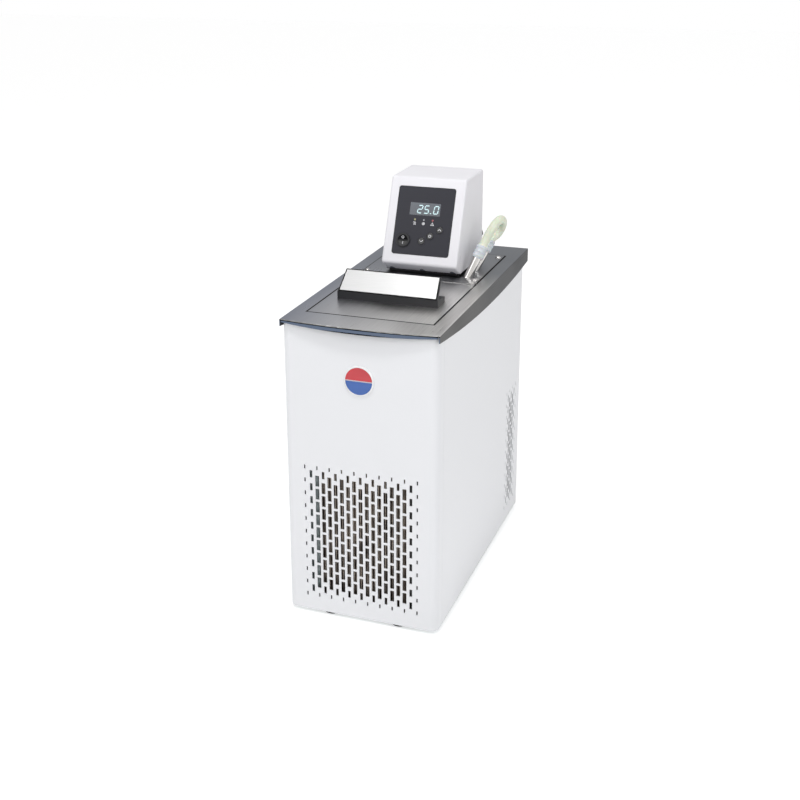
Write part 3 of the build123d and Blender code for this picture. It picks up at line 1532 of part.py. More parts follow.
drier_place = (drier_x, body_rear - drier_from_rear)
drier_bottom = drier_height - drier_length / 2
drier_top = drier_height + drier_length / 2
with BuildPart() as filter_drier:
    with BuildSketch(Plane.XY.offset(drier_bottom + drier_neck)):
        with Locations(drier_place):
            Circle(drier_diameter / 2)
    extrude(amount=drier_length - 2 * drier_neck)
    for end in (filter_drier.faces().sort_by(Axis.Z)[0], filter_drier.faces().sort_by(Axis.Z)[-1]):
        extrude(end, amount=drier_neck, taper=drier_taper)
filter_drier.part.label = "filter_drier"
export_step(filter_drier.part, "parts/filter_drier.step")

with BuildPart() as liquid_pipe:
    add_pipe(
        [
            (end_plate_x, pipe_y, liquid_height),
            (drier_place[0], pipe_y, liquid_height),
            (*drier_place, liquid_height),
            (*drier_place, drier_bottom),
        ],
        line_diameter,
        line_bend,
    )
    with BuildSketch(Plane.XY.offset(drier_top)):
        with Locations(drier_place):
            Circle(line_diameter / 2)
    extrude(amount=jacket_bottom - drier_top)
liquid_pipe.part.label = "liquid_pipe"
export_step(liquid_pipe.part, "parts/liquid_pipe.step")

with BuildPart() as suction_pipe:
    with BuildSketch(Plane.XY.offset(shell_top)):
        with Locations((suction_x, compressor_place[1])):
            Circle(suction_diameter / 2)
    extrude(amount=jacket_bottom - shell_top)
suction_pipe.part.label = "suction_pipe"
export_step(suction_pipe.part, "parts/suction_pipe.step")

# Drain: elbow from the tank's floor to the rear panel, and a plug cock with its lever
cock_y = body_rear + cock_flange_thickness + cock_length / 2
lever_bottom = drain_z + cock_diameter / 2 + cock_stem_height
with BuildPart() as drain_elbow:
    elbow_route = [
        (drain_x, drain_y, bath_floor - tank_sheet),
        (drain_x, drain_y, drain_z),
        (drain_x, body_rear, drain_z),
    ]
    add_pipe(elbow_route, drain_tube, line_bend)
    add_pipe(elbow_route, drain_bore, line_bend, Mode.SUBTRACT)
drain_elbow.part.label = "drain_elbow"
export_step(drain_elbow.part, "parts/drain_elbow.step")

with BuildPart() as drain_cock:
    with BuildSketch(across(body_rear)):
        with Locations((drain_x, drain_z)):
            Circle(cock_flange / 2)
    extrude(amount=-cock_flange_thickness)
    with BuildSketch(across(body_rear + cock_flange_thickness)):
        with Locations((drain_x, drain_z)):
            Circle(cock_diameter / 2)
    extrude(amount=-cock_length)
    with BuildSketch(across(body_rear + cock_flange_thickness + cock_length)):
        with Locations((drain_x, drain_z)):
            Circle(cock_nipple / 2)
    extrude(amount=-cock_nipple_length)
    with BuildSketch(Plane.XY.offset(drain_z)):
        with Locations((drain_x, cock_y)):
            Circle(cock_boss / 2)
    extrude(amount=cock_diameter / 2 + cock_stem_height)
    with BuildSketch(across(body_rear)):
        with Locations((drain_x, drain_z)):
            Circle(cock_bore / 2)
    extrude(amount=-cock_flange_thickness - cock_length - cock_nipple_length, mode=Mode.SUBTRACT)
    with BuildSketch(Plane.XY.offset(lever_bottom)):
        with Locations((drain_x, cock_y)):
            Circle(cock_stem / 2 + shaft_fit)
    extrude(amount=drain_z - cock_plug_depth - lever_bottom, mode=Mode.SUBTRACT)
drain_cock.part.label = "drain_cock"
export_step(drain_cock.part, "parts/drain_cock.step")

with BuildPart() as drain_lever:
    with BuildSketch(Plane.XY.offset(drain_z - cock_plug_depth)):
        with Locations((drain_x, cock_y)):
            Circle(cock_stem / 2)
    extrude(amount=lever_bottom - drain_z + cock_plug_depth)
    with BuildSketch(Plane.YZ.offset(drain_x)):
        with Locations((cock_y, drain_z)):
            Circle(cock_plug_hole / 2)
    extrude(amount=cock_stem, both=True, mode=Mode.SUBTRACT)
    with BuildSketch(Plane.XY.offset(lever_bottom)):
        with Locations((drain_x, cock_y)):
            Circle(cock_boss / 2)
        with Locations((drain_x + lever_length / 2, cock_y)):
            SlotCenterToCenter(lever_length, lever_width)
    extrude(amount=lever_thickness)
drain_lever.part.label = "drain_lever"
export_step(drain_lever.part, "parts/drain_lever.step")

# Mains inlet in the rear panel, with its three blades
with BuildPart() as mains_inlet:
    with BuildSketch(across(body_rear)):
        with Locations(inlet_place):
            RectangleRounded(*inlet_flange, inlet_corner)
    extrude(amount=-inlet_flange_thickness)
    with BuildSketch(across(body_rear)):
        with Locations(inlet_place):
            Rectangle(*inlet_body)
    extrude(amount=inlet_depth)
    with BuildSketch(across(body_rear + inlet_flange_thickness)):
        with Locations(inlet_place):
            Rectangle(inlet_body[0] - 2 * inlet_wall, inlet_body[1] - 2 * inlet_wall)
    extrude(amount=inlet_flange_thickness + inlet_depth - inlet_wall, mode=Mode.SUBTRACT)
    with BuildSketch(across(body_rear - inlet_depth + inlet_wall)):
        with Locations(inlet_place):
            with Locations((-blade_pitch, -blade_pitch / 4), (0, blade_pitch / 4), (blade_pitch, -blade_pitch / 4)):
                Rectangle(*blade_size)
    extrude(amount=-blade_length)
mains_inlet.part.label = "mains_inlet"
export_step(mains_inlet.part, "parts/mains_inlet.step")
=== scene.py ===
from math import cos, pi, radians, sin

import bpy
from mathutils import Matrix, Vector
from mathutils.bvhtree import BVHTree


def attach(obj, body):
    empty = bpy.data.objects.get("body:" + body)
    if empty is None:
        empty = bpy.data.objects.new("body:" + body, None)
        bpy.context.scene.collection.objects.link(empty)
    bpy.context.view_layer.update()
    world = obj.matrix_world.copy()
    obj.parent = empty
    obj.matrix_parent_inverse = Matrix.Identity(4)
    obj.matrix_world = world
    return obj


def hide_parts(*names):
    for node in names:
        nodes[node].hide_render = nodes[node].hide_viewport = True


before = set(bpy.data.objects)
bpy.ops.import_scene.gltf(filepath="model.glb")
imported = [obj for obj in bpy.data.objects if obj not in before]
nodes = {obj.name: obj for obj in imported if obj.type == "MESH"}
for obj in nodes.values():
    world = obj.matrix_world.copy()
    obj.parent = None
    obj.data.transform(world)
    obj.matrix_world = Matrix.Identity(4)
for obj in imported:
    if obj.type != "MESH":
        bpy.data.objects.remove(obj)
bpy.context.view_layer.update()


# The base pan: a folded tray of galvanised steel that carries the cooling system, on four
# turned rubber feet held by studs. The zinc shows its large soft spangle.

def linear(hex_colour):
    """The linear colour of an sRGB hex value."""
    parts = [int(hex_colour[i:i + 2], 16) / 255 for i in (1, 3, 5)]
    return (*(p / 12.92 if p <= 0.04045 else ((p + 0.055) / 1.055) ** 2.4 for p in parts), 1.0)


def add(tree, kind, inputs=None, **settings):
    """Add one shader node, with its settings, and its inputs as values or as sockets to link."""
    node = tree.nodes.new("ShaderNode" + kind)
    for name, value in settings.items():
        setattr(node, name, value)
    for name, value in (inputs or {}).items():
        if isinstance(value, bpy.types.NodeSocket):
            tree.links.new(value, node.inputs[name])
        else:
            node.inputs[name].default_value = value
    return node


def finish(name, **shader):
    """A new material with one Principled shader: its node tree, and the shader to link patterns to."""
    material = bpy.data.materials.new(name)
    material.use_nodes = True
    tree = material.node_tree
    tree.nodes.clear()
    surface = add(tree, "BsdfPrincipled", {key.replace("_", " "): value for key, value in shader.items()})
    add(tree, "OutputMaterial", {"Surface": surface.outputs[0]})
    return material, tree, surface


def dress(material, *names):
    """Give CAD nodes a material."""
    for name in names:
        data = nodes[name].data
        data.materials.clear()
        data.materials.append(material)


# Galvanised sheet: a bluish grey zinc skin with soft crystals about 9 mm across.
galvanised, tree, surface = finish("galvanised_steel_sheet", Metallic=1.0)
place = add(tree, "TexCoord").outputs["Object"]
crystals = add(tree, "TexVoronoi", {"Vector": place, "Scale": 1 / 0.009})
spangle = add(tree, "SeparateColor", {"Color": crystals.outputs["Color"]})
tone = add(tree, "Mix", {0: spangle.outputs[0], 6: linear("#8f9a9c"), 7: linear("#aab4b4")}, data_type="RGBA")
dull = add(tree, "MapRange", {"Value": spangle.outputs[1], "To Min": 0.38, "To Max": 0.56})
tree.links.new(tone.outputs[2], surface.inputs["Base Color"])
tree.links.new(dull.outputs[0], surface.inputs["Roughness"])
dress(galvanised, "base_pan", "fan_shroud")

# The condenser's frame is the same sheet, but its right side is painted black as painted shade,
# the dark inside of the cabinet seen behind the front grille.
painted_shade_from = 0.03
frame_with_painted_shade, tree, surface = finish("galvanised_frame_painted_shade", Roughness=0.5)
place = add(tree, "TexCoord").outputs["Object"]
across = add(tree, "SeparateXYZ", {"Vector": place})
crystals = add(tree, "TexVoronoi", {"Vector": place, "Scale": 1 / 0.009})
spangle = add(tree, "SeparateColor", {"Color": crystals.outputs["Color"]})
tone = add(tree, "Mix", {0: spangle.outputs[0], 6: linear("#8f9a9c"), 7: linear("#aab4b4")}, data_type="RGBA")
# Right of this line the frame is black painted shade, not metal.
bare = add(tree, "Math", {0: across.outputs[0], 1: painted_shade_from}, operation="LESS_THAN")
frame_shade_painted = add(tree, "Mix", {0: bare.outputs[0], 6: linear("#0e0e0f"), 7: tone.outputs[2]}, data_type="RGBA")
tree.links.new(frame_shade_painted.outputs[2], surface.inputs["Base Color"])
tree.links.new(bare.outputs[0], surface.inputs["Metallic"])
dress(frame_with_painted_shade, "condenser_frame")

# Moulded rubber: near black, matt, with a fine bloom of dust on it.
rubber, tree, surface = finish("moulded_rubber", Roughness=0.78, IOR=1.52)
place = add(tree, "TexCoord").outputs["Object"]
dust_and_reflection_mottle = add(tree, "TexNoise", {"Vector": place, "Scale": 1 / 0.006, "Detail": 4.0})
tone = add(tree, "Mix", {0: dust_and_reflection_mottle.outputs[0], 6: linear("#161617"), 7: linear("#2c2c2d")}, data_type="RGBA")
grain = add(tree, "TexNoise", {"Vector": place, "Scale": 1 / 0.0012, "Detail": 2.0})
relief = add(tree, "Bump", {"Strength": 0.15, "Distance": 0.0001, "Height": grain.outputs[0]})
tree.links.new(tone.outputs[2], surface.inputs["Base Color"])
tree.links.new(relief.outputs[0], surface.inputs["Normal"])
dress(rubber, "feet", "compressor_mounts")


# The cabinet: folded steel panels with punched grilles, clipped together at two seams and
# powder coated. The front wraps round both corners, and the panels lift off for cleaning.

# Powder coat: a smooth, slightly satin off-white with a very fine orange peel, drawn 2.5 mm
# across to show, and a touch of dust grey low down near the feet.
dusty_height = 0.12
powder, tree, surface = finish("powder_coated_steel", Roughness=0.42, IOR=1.5)
place = add(tree, "TexCoord").outputs["Object"]
height = add(tree, "SeparateXYZ", {"Vector": place})
peel = add(tree, "TexNoise", {"Vector": place, "Scale": 1 / 0.0025, "Detail": 1.5})
cloud = add(tree, "TexNoise", {"Vector": place, "Scale": 1 / 0.09, "Detail": 2.0})
low = add(tree, "MapRange", {"Value": height.outputs[2], "From Min": 0.0, "From Max": dusty_height,
                             "To Min": 0.5, "To Max": 0.0})
dusty = add(tree, "Math", {0: low.outputs[0], 1: cloud.outputs[0]}, operation="MULTIPLY")
tone = add(tree, "Mix", {0: dusty.outputs[0], 6: linear("#e9eaed"), 7: linear("#dcdddf")}, data_type="RGBA")
relief = add(tree, "Bump", {"Strength": 0.06, "Distance": 0.0001, "Height": peel.outputs[0]})
tree.links.new(tone.outputs[2], surface.inputs["Base Color"])
tree.links.new(relief.outputs[0], surface.inputs["Normal"])
dress(powder, "front_panel", "side_panel_right", "side_panel_left", "rear_panel")


# The hot and cold badge: a round enamelled plate stuck on the front, red above and blue below,
# with a white rim. The enamel is glossy and very even.

for node, name, deep, pale in (
    ("badge_plate", "white_enamel", "#e4e5e7", "#f0f0f2"),
    ("badge_hot", "red_enamel", "#b81e2c", "#cf2a36"),
    ("badge_cold", "blue_enamel", "#1d4a96", "#2a62b4"),
):
    enamel, tree, surface = finish(name, Roughness=0.16, IOR=1.52, Coat_Weight=0.4, Coat_Roughness=0.08)
    place = add(tree, "TexCoord").outputs["Object"]
    flow = add(tree, "TexNoise", {"Vector": place, "Scale": 1 / 0.02, "Detail": 1.0})
    tone = add(tree, "Mix", {0: flow.outputs[0], 6: linear(deep), 7: linear(pale)}, data_type="RGBA")
    relief = add(tree, "Bump", {"Strength": 0.05, "Distance": 0.0002, "Height": flow.outputs[0]})
    tree.links.new(tone.outputs[2], surface.inputs["Base Color"])
    tree.links.new(relief.outputs[0], surface.inputs["Normal"])
    dress(enamel, node)


# The condenser: a block of thin aluminium fins on copper tubes, just behind the front grille.
# Air drawn through it leaves a brown grey dust on the fins, thicker at their edges.

fin_metal, tree, surface = finish("dusty_aluminium_fins", Metallic=0.6)
place = add(tree, "TexCoord").outputs["Object"]
stretch = add(tree, "Mapping", {"Vector": place, "Scale": (1 / 0.0036, 1 / 0.02, 1 / 0.03)})
dust = add(tree, "TexNoise", {"Vector": stretch.outputs[0], "Scale": 1.0, "Detail": 5.0, "Roughness": 0.6})
patch = add(tree, "TexNoise", {"Vector": place, "Scale": 1 / 0.035, "Detail": 1.0})
thick = add(tree, "MapRange", {"Value": patch.outputs[0], "From Min": 0.35, "From Max": 0.65})
clean = add(tree, "Mix", {0: dust.outputs[0], 6: linear("#6e645c"), 7: linear("#d6cabd")}, data_type="RGBA")
dirty = add(tree, "Mix", {0: dust.outputs[0], 6: linear("#3d3733"), 7: linear("#8c8177")}, data_type="RGBA")
tone = add(tree, "Mix", {0: thick.outputs[0], 6: dirty.outputs[2], 7: clean.outputs[2]}, data_type="RGBA")
dull = add(tree, "MapRange", {"Value": dust.outputs[0], "To Min": 0.7, "To Max": 0.45})
tree.links.new(tone.outputs[2], surface.inputs["Base Color"])
tree.links.new(dull.outputs[0], surface.inputs["Roughness"])
dress(fin_metal, "condenser")


# The fan: a motor on three arms and a rotor of glass filled nylon that draws air through the
# condenser. The rotor is matt black with faint flow lines, the motor stove enamelled.

fan_nylon, tree, surface = finish("glass_filled_nylon", Roughness=0.55, IOR=1.53)
place = add(tree, "TexCoord").outputs["Object"]
fibres = add(tree, "TexNoise", {"Vector": place, "Scale": 1 / 0.004, "Detail": 5.0, "Distortion": 1.2})
tone = add(tree, "Mix", {0: fibres.outputs[0], 6: linear("#141415"), 7: linear("#2a2a2c")}, data_type="RGBA")
relief = add(tree, "Bump", {"Strength": 0.2, "Distance": 0.0001, "Height": fibres.outputs[0]})
tree.links.new(tone.outputs[2], surface.inputs["Base Color"])
tree.links.new(relief.outputs[0], surface.inputs["Normal"])
dress(fan_nylon, "fan_rotor", "impeller")

# Stove enamel on steel: black, half gloss, with slight waves from dipping about 15 mm apart.
black_enamel, tree, surface = finish("stove_enamelled_steel", Roughness=0.3, IOR=1.5)
place = add(tree, "TexCoord").outputs["Object"]
waves = add(tree, "TexNoise", {"Vector": place, "Scale": 1 / 0.015, "Detail": 2.0})
specks = add(tree, "TexNoise", {"Vector": place, "Scale": 1 / 0.0015, "Detail": 2.0})
tone = add(tree, "Mix", {0: waves.outputs[0], 6: linear("#19191b"), 7: linear("#303135")}, data_type="RGBA")
dull = add(tree, "MapRange", {"Value": specks.outputs[0], "To Min": 0.22, "To Max": 0.42})
relief = add(tree, "Bump", {"Strength": 0.15, "Distance": 0.0004, "Height": waves.outputs[0]})
tree.links.new(tone.outputs[2], surface.inputs["Base Color"])
tree.links.new(dull.outputs[0], surface.inputs["Roughness"])
tree.links.new(relief.outputs[0], surface.inputs["Normal"])
dress(black_enamel, "compressor", "fan_motor", "pump_motor")


# The cooling circuit: drawn copper pipe brazed between the compressor, the condenser and a
# copper drier. The pipe has browned unevenly from handling and from the brazing heat.

copper, tree, surface = finish("drawn_copper_pipe", Metallic=1.0)
place = add(tree, "TexCoord").outputs["Object"]
stain = add(tree, "TexNoise", {"Vector": place, "Scale": 1 / 0.018, "Detail": 5.0, "Roughness": 0.6})
tone = add(tree, "Mix", {0: stain.outputs[0], 6: linear("#8a5238"), 7: linear("#cf8a66")}, data_type="RGBA")
dull = add(tree, "MapRange", {"Value": stain.outputs[0], "To Min": 0.5, "To Max": 0.24})
tree.links.new(tone.outputs[2], surface.inputs["Base Color"])
tree.links.new(dull.outputs[0], surface.inputs["Roughness"])
dress(copper, "discharge_pipe", "liquid_pipe", "suction_pipe", "filter_drier")


# The bath: a deep drawn stainless tank, hung from the deck and wrapped in rigid foam that
# was poured round it. Drawing leaves the steel dull, the foam keeps small open cells.

drawn_steel, tree, surface = finish("deep_drawn_stainless", Metallic=1.0)
place = add(tree, "TexCoord").outputs["Object"]
stretch = add(tree, "Mapping", {"Vector": place, "Scale": (1 / 0.0015, 1 / 0.0015, 1 / 0.05)})
draw_lines = add(tree, "TexNoise", {"Vector": stretch.outputs[0], "Scale": 1.0, "Detail": 3.0})
tone = add(tree, "Mix", {0: draw_lines.outputs[0], 6: linear("#96989a"), 7: linear("#b4b5b6")},
           data_type="RGBA")
dull = add(tree, "MapRange", {"Value": draw_lines.outputs[0], "To Min": 0.3, "To Max": 0.48})
tree.links.new(tone.outputs[2], surface.inputs["Base Color"])
tree.links.new(dull.outputs[0], surface.inputs["Roughness"])
dress(drawn_steel, "bath_tank")

# Rigid polyurethane foam: straw coloured and quite matt, with cells drawn 3 mm across.
foam, tree, surface = finish("rigid_polyurethane_foam", Roughness=0.9, IOR=1.45)
place = add(tree, "TexCoord").outputs["Object"]
cells = add(tree, "TexVoronoi", {"Vector": place, "Scale": 1 / 0.003})
tone = add(tree, "Mix", {0: cells.outputs["Distance"], 6: linear("#e6d9a8"), 7: linear("#cbb878")},
           data_type="RGBA")
relief = add(tree, "Bump", {"Strength": 0.5, "Distance": 0.0008, "Height": cells.outputs["Distance"]})
tree.links.new(tone.outputs[2], surface.inputs["Base Color"])
tree.links.new(relief.outputs[0], surface.inputs["Normal"])
dress(foam, "bath_jacket")


# The drain: a nickel plated brass elbow and cock at the back, with a small black lever that
# turns a quarter. The plating is smooth, a little yellow, and dull where it was tumbled.

nickel, tree, surface = finish("nickel_plated_brass", Metallic=1.0)
place = add(tree, "TexCoord").outputs["Object"]
haze = add(tree, "TexNoise", {"Vector": place, "Scale": 1 / 0.005, "Detail": 4.0})
tone = add(tree, "Mix", {0: haze.outputs[0], 6: linear("#b3a98f"), 7: linear("#cfc8b6")}, data_type="RGBA")
dull = add(tree, "MapRange", {"Value": haze.outputs[0], "To Min": 0.18, "To Max": 0.34})
tree.links.new(tone.outputs[2], surface.inputs["Base Color"])
tree.links.new(dull.outputs[0], surface.inputs["Roughness"])
dress(nickel, "drain_elbow", "drain_cock")


# The deck, the bridge plate and the bath lid: stainless sheet, brushed along its length and
# folded down at the edges. Painted shade makes the folds darker than the flat, which carries a painted reflection.

# Brushed stainless: fine scratches 60 mm long, drawn 0.7 mm wide to show. A painted reflection makes
# the grey cool on the left, warm and pale at the front right, and darker towards the rear; painted shade darkens
# the folds.
reflection_left, reflection_right = -0.12, 0.1
reflection_front, reflection_rear = -0.09, 0.09
shadow_foot, shadow_head = 0.4556, 0.4560
apron_low, apron_rise = 0.450, 0.266
hem_width, hem_fade = 0.0015, 0.0004
opening_half, opening_front, opening_rear, opening_gap = 0.0953, -0.19405, 0.18685, 0.0008
seam_shade_width = 0.001
for name, bare_nodes, left_front, right_front, left_rear, right_rear in (
    ("brushed_stainless_deck", ("deck",), "#7b7f8b", "#e2e0dd", "#787c86", "#6d7075"),
    ("brushed_stainless_plates", ("bridge_plate", "lid_plate"), "#787b85", "#f4f2ef", "#7a7d85", "#74767a"),
):
    brushed, tree, surface = finish(name, Metallic=1.0, Anisotropic=0.4, Specular_Tint=linear("#dedede"))
    place = add(tree, "TexCoord").outputs["Object"]
    spot = add(tree, "SeparateXYZ", {"Vector": place})
    facing = add(tree, "SeparateXYZ", {"Vector": add(tree, "NewGeometry").outputs["Normal"]})
    side = add(tree, "MapRange", {"Value": spot.outputs[0], "From Min": reflection_left, "From Max": reflection_right})
    rearward = add(tree, "MapRange", {"Value": spot.outputs[1], "From Min": reflection_front, "From Max": reflection_rear},
                   interpolation_type="SMOOTHSTEP")
    flat = add(tree, "MapRange", {"Value": facing.outputs[2], "From Min": 0.25, "From Max": 0.95})
    stretch = add(tree, "Mapping", {"Vector": place, "Scale": (1 / 0.0007, 1 / 0.06, 1 / 0.0007)})
    scratches = add(tree, "TexNoise", {"Vector": stretch.outputs[0], "Scale": 1.0, "Detail": 3.0, "Roughness": 0.6})
    cloud = add(tree, "TexNoise", {"Vector": place, "Scale": 1 / 0.12, "Detail": 1.0})
    # Painted reflection: the top's grey runs from cool on the left to pale at the front right, darker to the rear.
    front = add(tree, "Mix", {0: side.outputs[0], 6: linear(left_front), 7: linear(right_front)},
                data_type="RGBA")
    rear = add(tree, "Mix", {0: side.outputs[0], 6: linear(left_rear), 7: linear(right_rear)},
               data_type="RGBA")
    top = add(tree, "Mix", {0: rearward.outputs[0], 6: front.outputs[2], 7: rear.outputs[2]},
              data_type="RGBA")
    # Painted shade: the folds get a darker grey than the flat top.
    fold_shade = add(tree, "Mix", {0: rearward.outputs[0], 6: linear("#555555"), 7: linear("#444547")},
               data_type="RGBA")
    fold_shaded = add(tree, "Mix", {0: flat.outputs[0], 6: fold_shade.outputs[2], 7: top.outputs[2]}, data_type="RGBA")
    lines = add(tree, "MapRange", {"Value": scratches.outputs[0], "From Min": 0.3, "From Max": 0.7,
                                   "To Min": 0.88, "To Max": 1.08})
    # The front apron faces the user: a painted bluish reflection, a painted black shadow line just
    # under the fold, and a thin grey painted highlight along the fold itself.
    frontal = add(tree, "MapRange", {"Value": facing.outputs[1], "From Min": -0.6, "From Max": -0.85})
    shadow = add(tree, "MapRange", {"Value": spot.outputs[2], "From Min": shadow_foot, "From Max": shadow_head})
    apron_reflection = add(tree, "Mix", {0: shadow.outputs[0], 6: linear("#5c6779"), 7: linear("#101012")},
                data_type="RGBA")
    bent = add(tree, "Math", {0: facing.outputs[1], 1: facing.outputs[2]}, operation="MULTIPLY")
    glint = add(tree, "MapRange", {"Value": bent.outputs[0], "From Min": -0.25, "From Max": -0.4})
    # The apron's lower edge rises to both ends, and a painted black shadow line follows it.
    squared = add(tree, "Math", {0: spot.outputs[0], 1: spot.outputs[0]}, operation="MULTIPLY")
    levelled = add(tree, "Math", {0: squared.outputs[0], 1: apron_rise, 2: spot.outputs[2]},
                   operation="MULTIPLY_ADD")
    hem_shadow = add(tree, "MapRange", {"Value": levelled.outputs[0], "From Min": apron_low + hem_width + hem_fade,
                                 "From Max": apron_low + hem_width})
    hem_shadowed = add(tree, "Mix", {0: hem_shadow.outputs[0], 6: apron_reflection.outputs[2], 7: linear("#0c0c0e")},
                 data_type="RGBA")
    fronted = add(tree, "Mix", {0: frontal.outputs[0], 6: fold_shaded.outputs[2], 7: hem_shadowed.outputs[2]},
                  data_type="RGBA")
    edged = add(tree, "Mix", {0: glint.outputs[0], 6: fronted.outputs[2], 7: linear("#7c7c7b")},
                data_type="RGBA")
    # Painted shade darkens both edges along the gap round the lid and the bridge plate.
    away = add(tree, "Math", {0: spot.outputs[0]}, operation="ABSOLUTE")
    past_side = add(tree, "Math", {0: away.outputs[0], 1: opening_half}, operation="SUBTRACT")
    past_front = add(tree, "Math", {0: opening_front, 1: spot.outputs[1]}, operation="SUBTRACT")
    past_rear = add(tree, "Math", {0: spot.outputs[1], 1: opening_rear}, operation="SUBTRACT")
    past_ends = add(tree, "Math", {0: past_front.outputs[0], 1: past_rear.outputs[0]}, operation="MAXIMUM")
    beyond = add(tree, "Math", {0: past_side.outputs[0], 1: past_ends.outputs[0]}, operation="MAXIMUM")
    seam_shade = add(tree, "Math", {0: beyond.outputs[0], 1: -opening_gap / 2, 2: opening_gap / 2 + seam_shade_width},
               operation="COMPARE")
    seam_shaded = add(tree, "Mix", {0: seam_shade.outputs[0], 6: edged.outputs[2], 7: linear("#0c0c0d")},
                 data_type="RGBA")
    lined = add(tree, "VectorMath", {0: seam_shaded.outputs[2], "Scale": lines.outputs[0]}, operation="SCALE")
    both = add(tree, "Math", {0: scratches.outputs[0], 1: cloud.outputs[0]}, operation="ADD")
    dull = add(tree, "MapRange", {"Value": both.outputs[0], "From Min": 0.6, "From Max": 1.4,
                                  "To Min": 0.26, "To Max": 0.42})
    relief = add(tree, "Bump", {"Strength": 0.08, "Distance": 0.00005, "Height": scratches.outputs[0]})
    tree.links.new(lined.outputs[0], surface.inputs["Base Color"])
    tree.links.new(dull.outputs[0], surface.inputs["Roughness"])
    tree.links.new(relief.outputs[0], surface.inputs["Normal"])
    dress(brushed, *bare_nodes)


# Bright fastenings, pipes and probes: turned and polished stainless. The dome screws, the two
# pump nozzles and what hangs in the bath all have this clean bright skin.

polished, tree, surface = finish("polished_stainless", Metallic=1.0)
place = add(tree, "TexCoord").outputs["Object"]
stretch = add(tree, "Mapping", {"Vector": place, "Scale": (1 / 0.012, 1 / 0.012, 1 / 0.03)})
turning = add(tree, "TexNoise", {"Vector": stretch.outputs[0], "Scale": 1.0, "Detail": 2.0})
tone = add(tree, "Mix", {0: turning.outputs[0], 6: linear("#b3afac"), 7: linear("#e0dedc")}, data_type="RGBA")
dull = add(tree, "MapRange", {"Value": turning.outputs[0], "To Min": 0.08, "To Max": 0.22})
tree.links.new(tone.outputs[2], surface.inputs["Base Color"])
tree.links.new(dull.outputs[0], surface.inputs["Roughness"])
dress(polished, "plate_screws", "handle_screws", "nozzle_front", "nozzle_rear", "pump_shaft", "pump_riser",
      "heater", "temperature_probe", "float_rod")


# The lid's handle: a black moulded bar screwed on from below, with a thin brushed plate of
# bright steel on its sloping wing. The plate's bevelled edge all round is painted dark as shade.

# Black moulding: a fine spark eroded grain, drawn 1.2 mm across, that keeps its gloss down.
black_moulding, tree, surface = finish("black_moulded_abs", Roughness=0.44, IOR=1.53, Specular_IOR_Level=0.35)
place = add(tree, "TexCoord").outputs["Object"]
grain = add(tree, "TexNoise", {"Vector": place, "Scale": 1 / 0.0012, "Detail": 2.0})
wear = add(tree, "TexNoise", {"Vector": place, "Scale": 1 / 0.03, "Detail": 3.0})
tone = add(tree, "Mix", {0: wear.outputs[0], 6: linear("#18181a"), 7: linear("#26262a")}, data_type="RGBA")
relief = add(tree, "Bump", {"Strength": 0.12, "Distance": 0.0001, "Height": grain.outputs[0]})
tree.links.new(tone.outputs[2], surface.inputs["Base Color"])
tree.links.new(relief.outputs[0], surface.inputs["Normal"])
dress(black_moulding, "lid_handle", "head_base", "pump_column", "pump_housing", "terminal_cover", "drain_lever",
      "mains_inlet", "switch_bezel", "socket_hood")

# Brushed plate: nearly white in the light, with 30 mm scratches that run across the lid, and a
# painted dark shade along its bevelled edge.
wing_foot = Vector((0.0, -0.12025, 0.469))
wing_up = Vector((0.0, cos(radians(44)), sin(radians(44))))
wing_length = 0.0395
wing_half_foot = 0.076
wing_narrowing = 0.003
plate_inset = 0.0008
bevel_shade_width = 0.0017
face_steel, tree, surface = finish("brushed_face_plate", Metallic=0.85)
place = add(tree, "TexCoord").outputs["Object"]
from_foot = add(tree, "VectorMath", {0: place, 1: wing_foot}, operation="SUBTRACT")
climb = add(tree, "VectorMath", {0: from_foot.outputs[0], 1: wing_up}, operation="DOT_PRODUCT")
apart = add(tree, "SeparateXYZ", {"Vector": from_foot.outputs[0]})
away = add(tree, "Math", {0: apart.outputs[0]}, operation="ABSOLUTE")
tapered = add(tree, "Math", {0: climb.outputs["Value"], 1: wing_narrowing / wing_length, 2: away.outputs[0]},
              operation="MULTIPLY_ADD")
to_side = add(tree, "Math", {0: wing_half_foot - plate_inset, 1: tapered.outputs[0]}, operation="SUBTRACT")
to_top = add(tree, "Math", {0: wing_length - plate_inset, 1: climb.outputs["Value"]}, operation="SUBTRACT")
to_foot = add(tree, "Math", {0: climb.outputs["Value"], 1: plate_inset}, operation="SUBTRACT")
ends = add(tree, "Math", {0: to_top.outputs[0], 1: to_foot.outputs[0]}, operation="MINIMUM")
nearest = add(tree, "Math", {0: ends.outputs[0], 1: to_side.outputs[0]}, operation="MINIMUM")
bevel_shade = add(tree, "MapRange", {"Value": nearest.outputs[0], "From Min": bevel_shade_width * 0.8,
                               "From Max": bevel_shade_width})
stretch = add(tree, "Mapping", {"Vector": place, "Scale": (1 / 0.03, 1 / 0.0006, 1 / 0.0006)})
scratches = add(tree, "TexNoise", {"Vector": stretch.outputs[0], "Scale": 1.0, "Detail": 3.0})
bright = add(tree, "Mix", {0: scratches.outputs[0], 6: linear("#bababb"), 7: linear("#cdcdcc")},
             data_type="RGBA")
tone = add(tree, "Mix", {0: bevel_shade.outputs[0], 6: linear("#0e0e0f"), 7: bright.outputs[2]}, data_type="RGBA")
dull = add(tree, "MapRange", {"Value": scratches.outputs[0], "To Min": 0.3, "To Max": 0.46})
tree.links.new(tone.outputs[2], surface.inputs["Base Color"])
tree.links.new(dull.outputs[0], surface.inputs["Roughness"])
dress(face_steel, "handle_face")


# The float: a hollow cylinder of white foamed plastic that slides on its rod and stops the
# heater when the bath runs low. It is matt, with a slight chalky mottle.

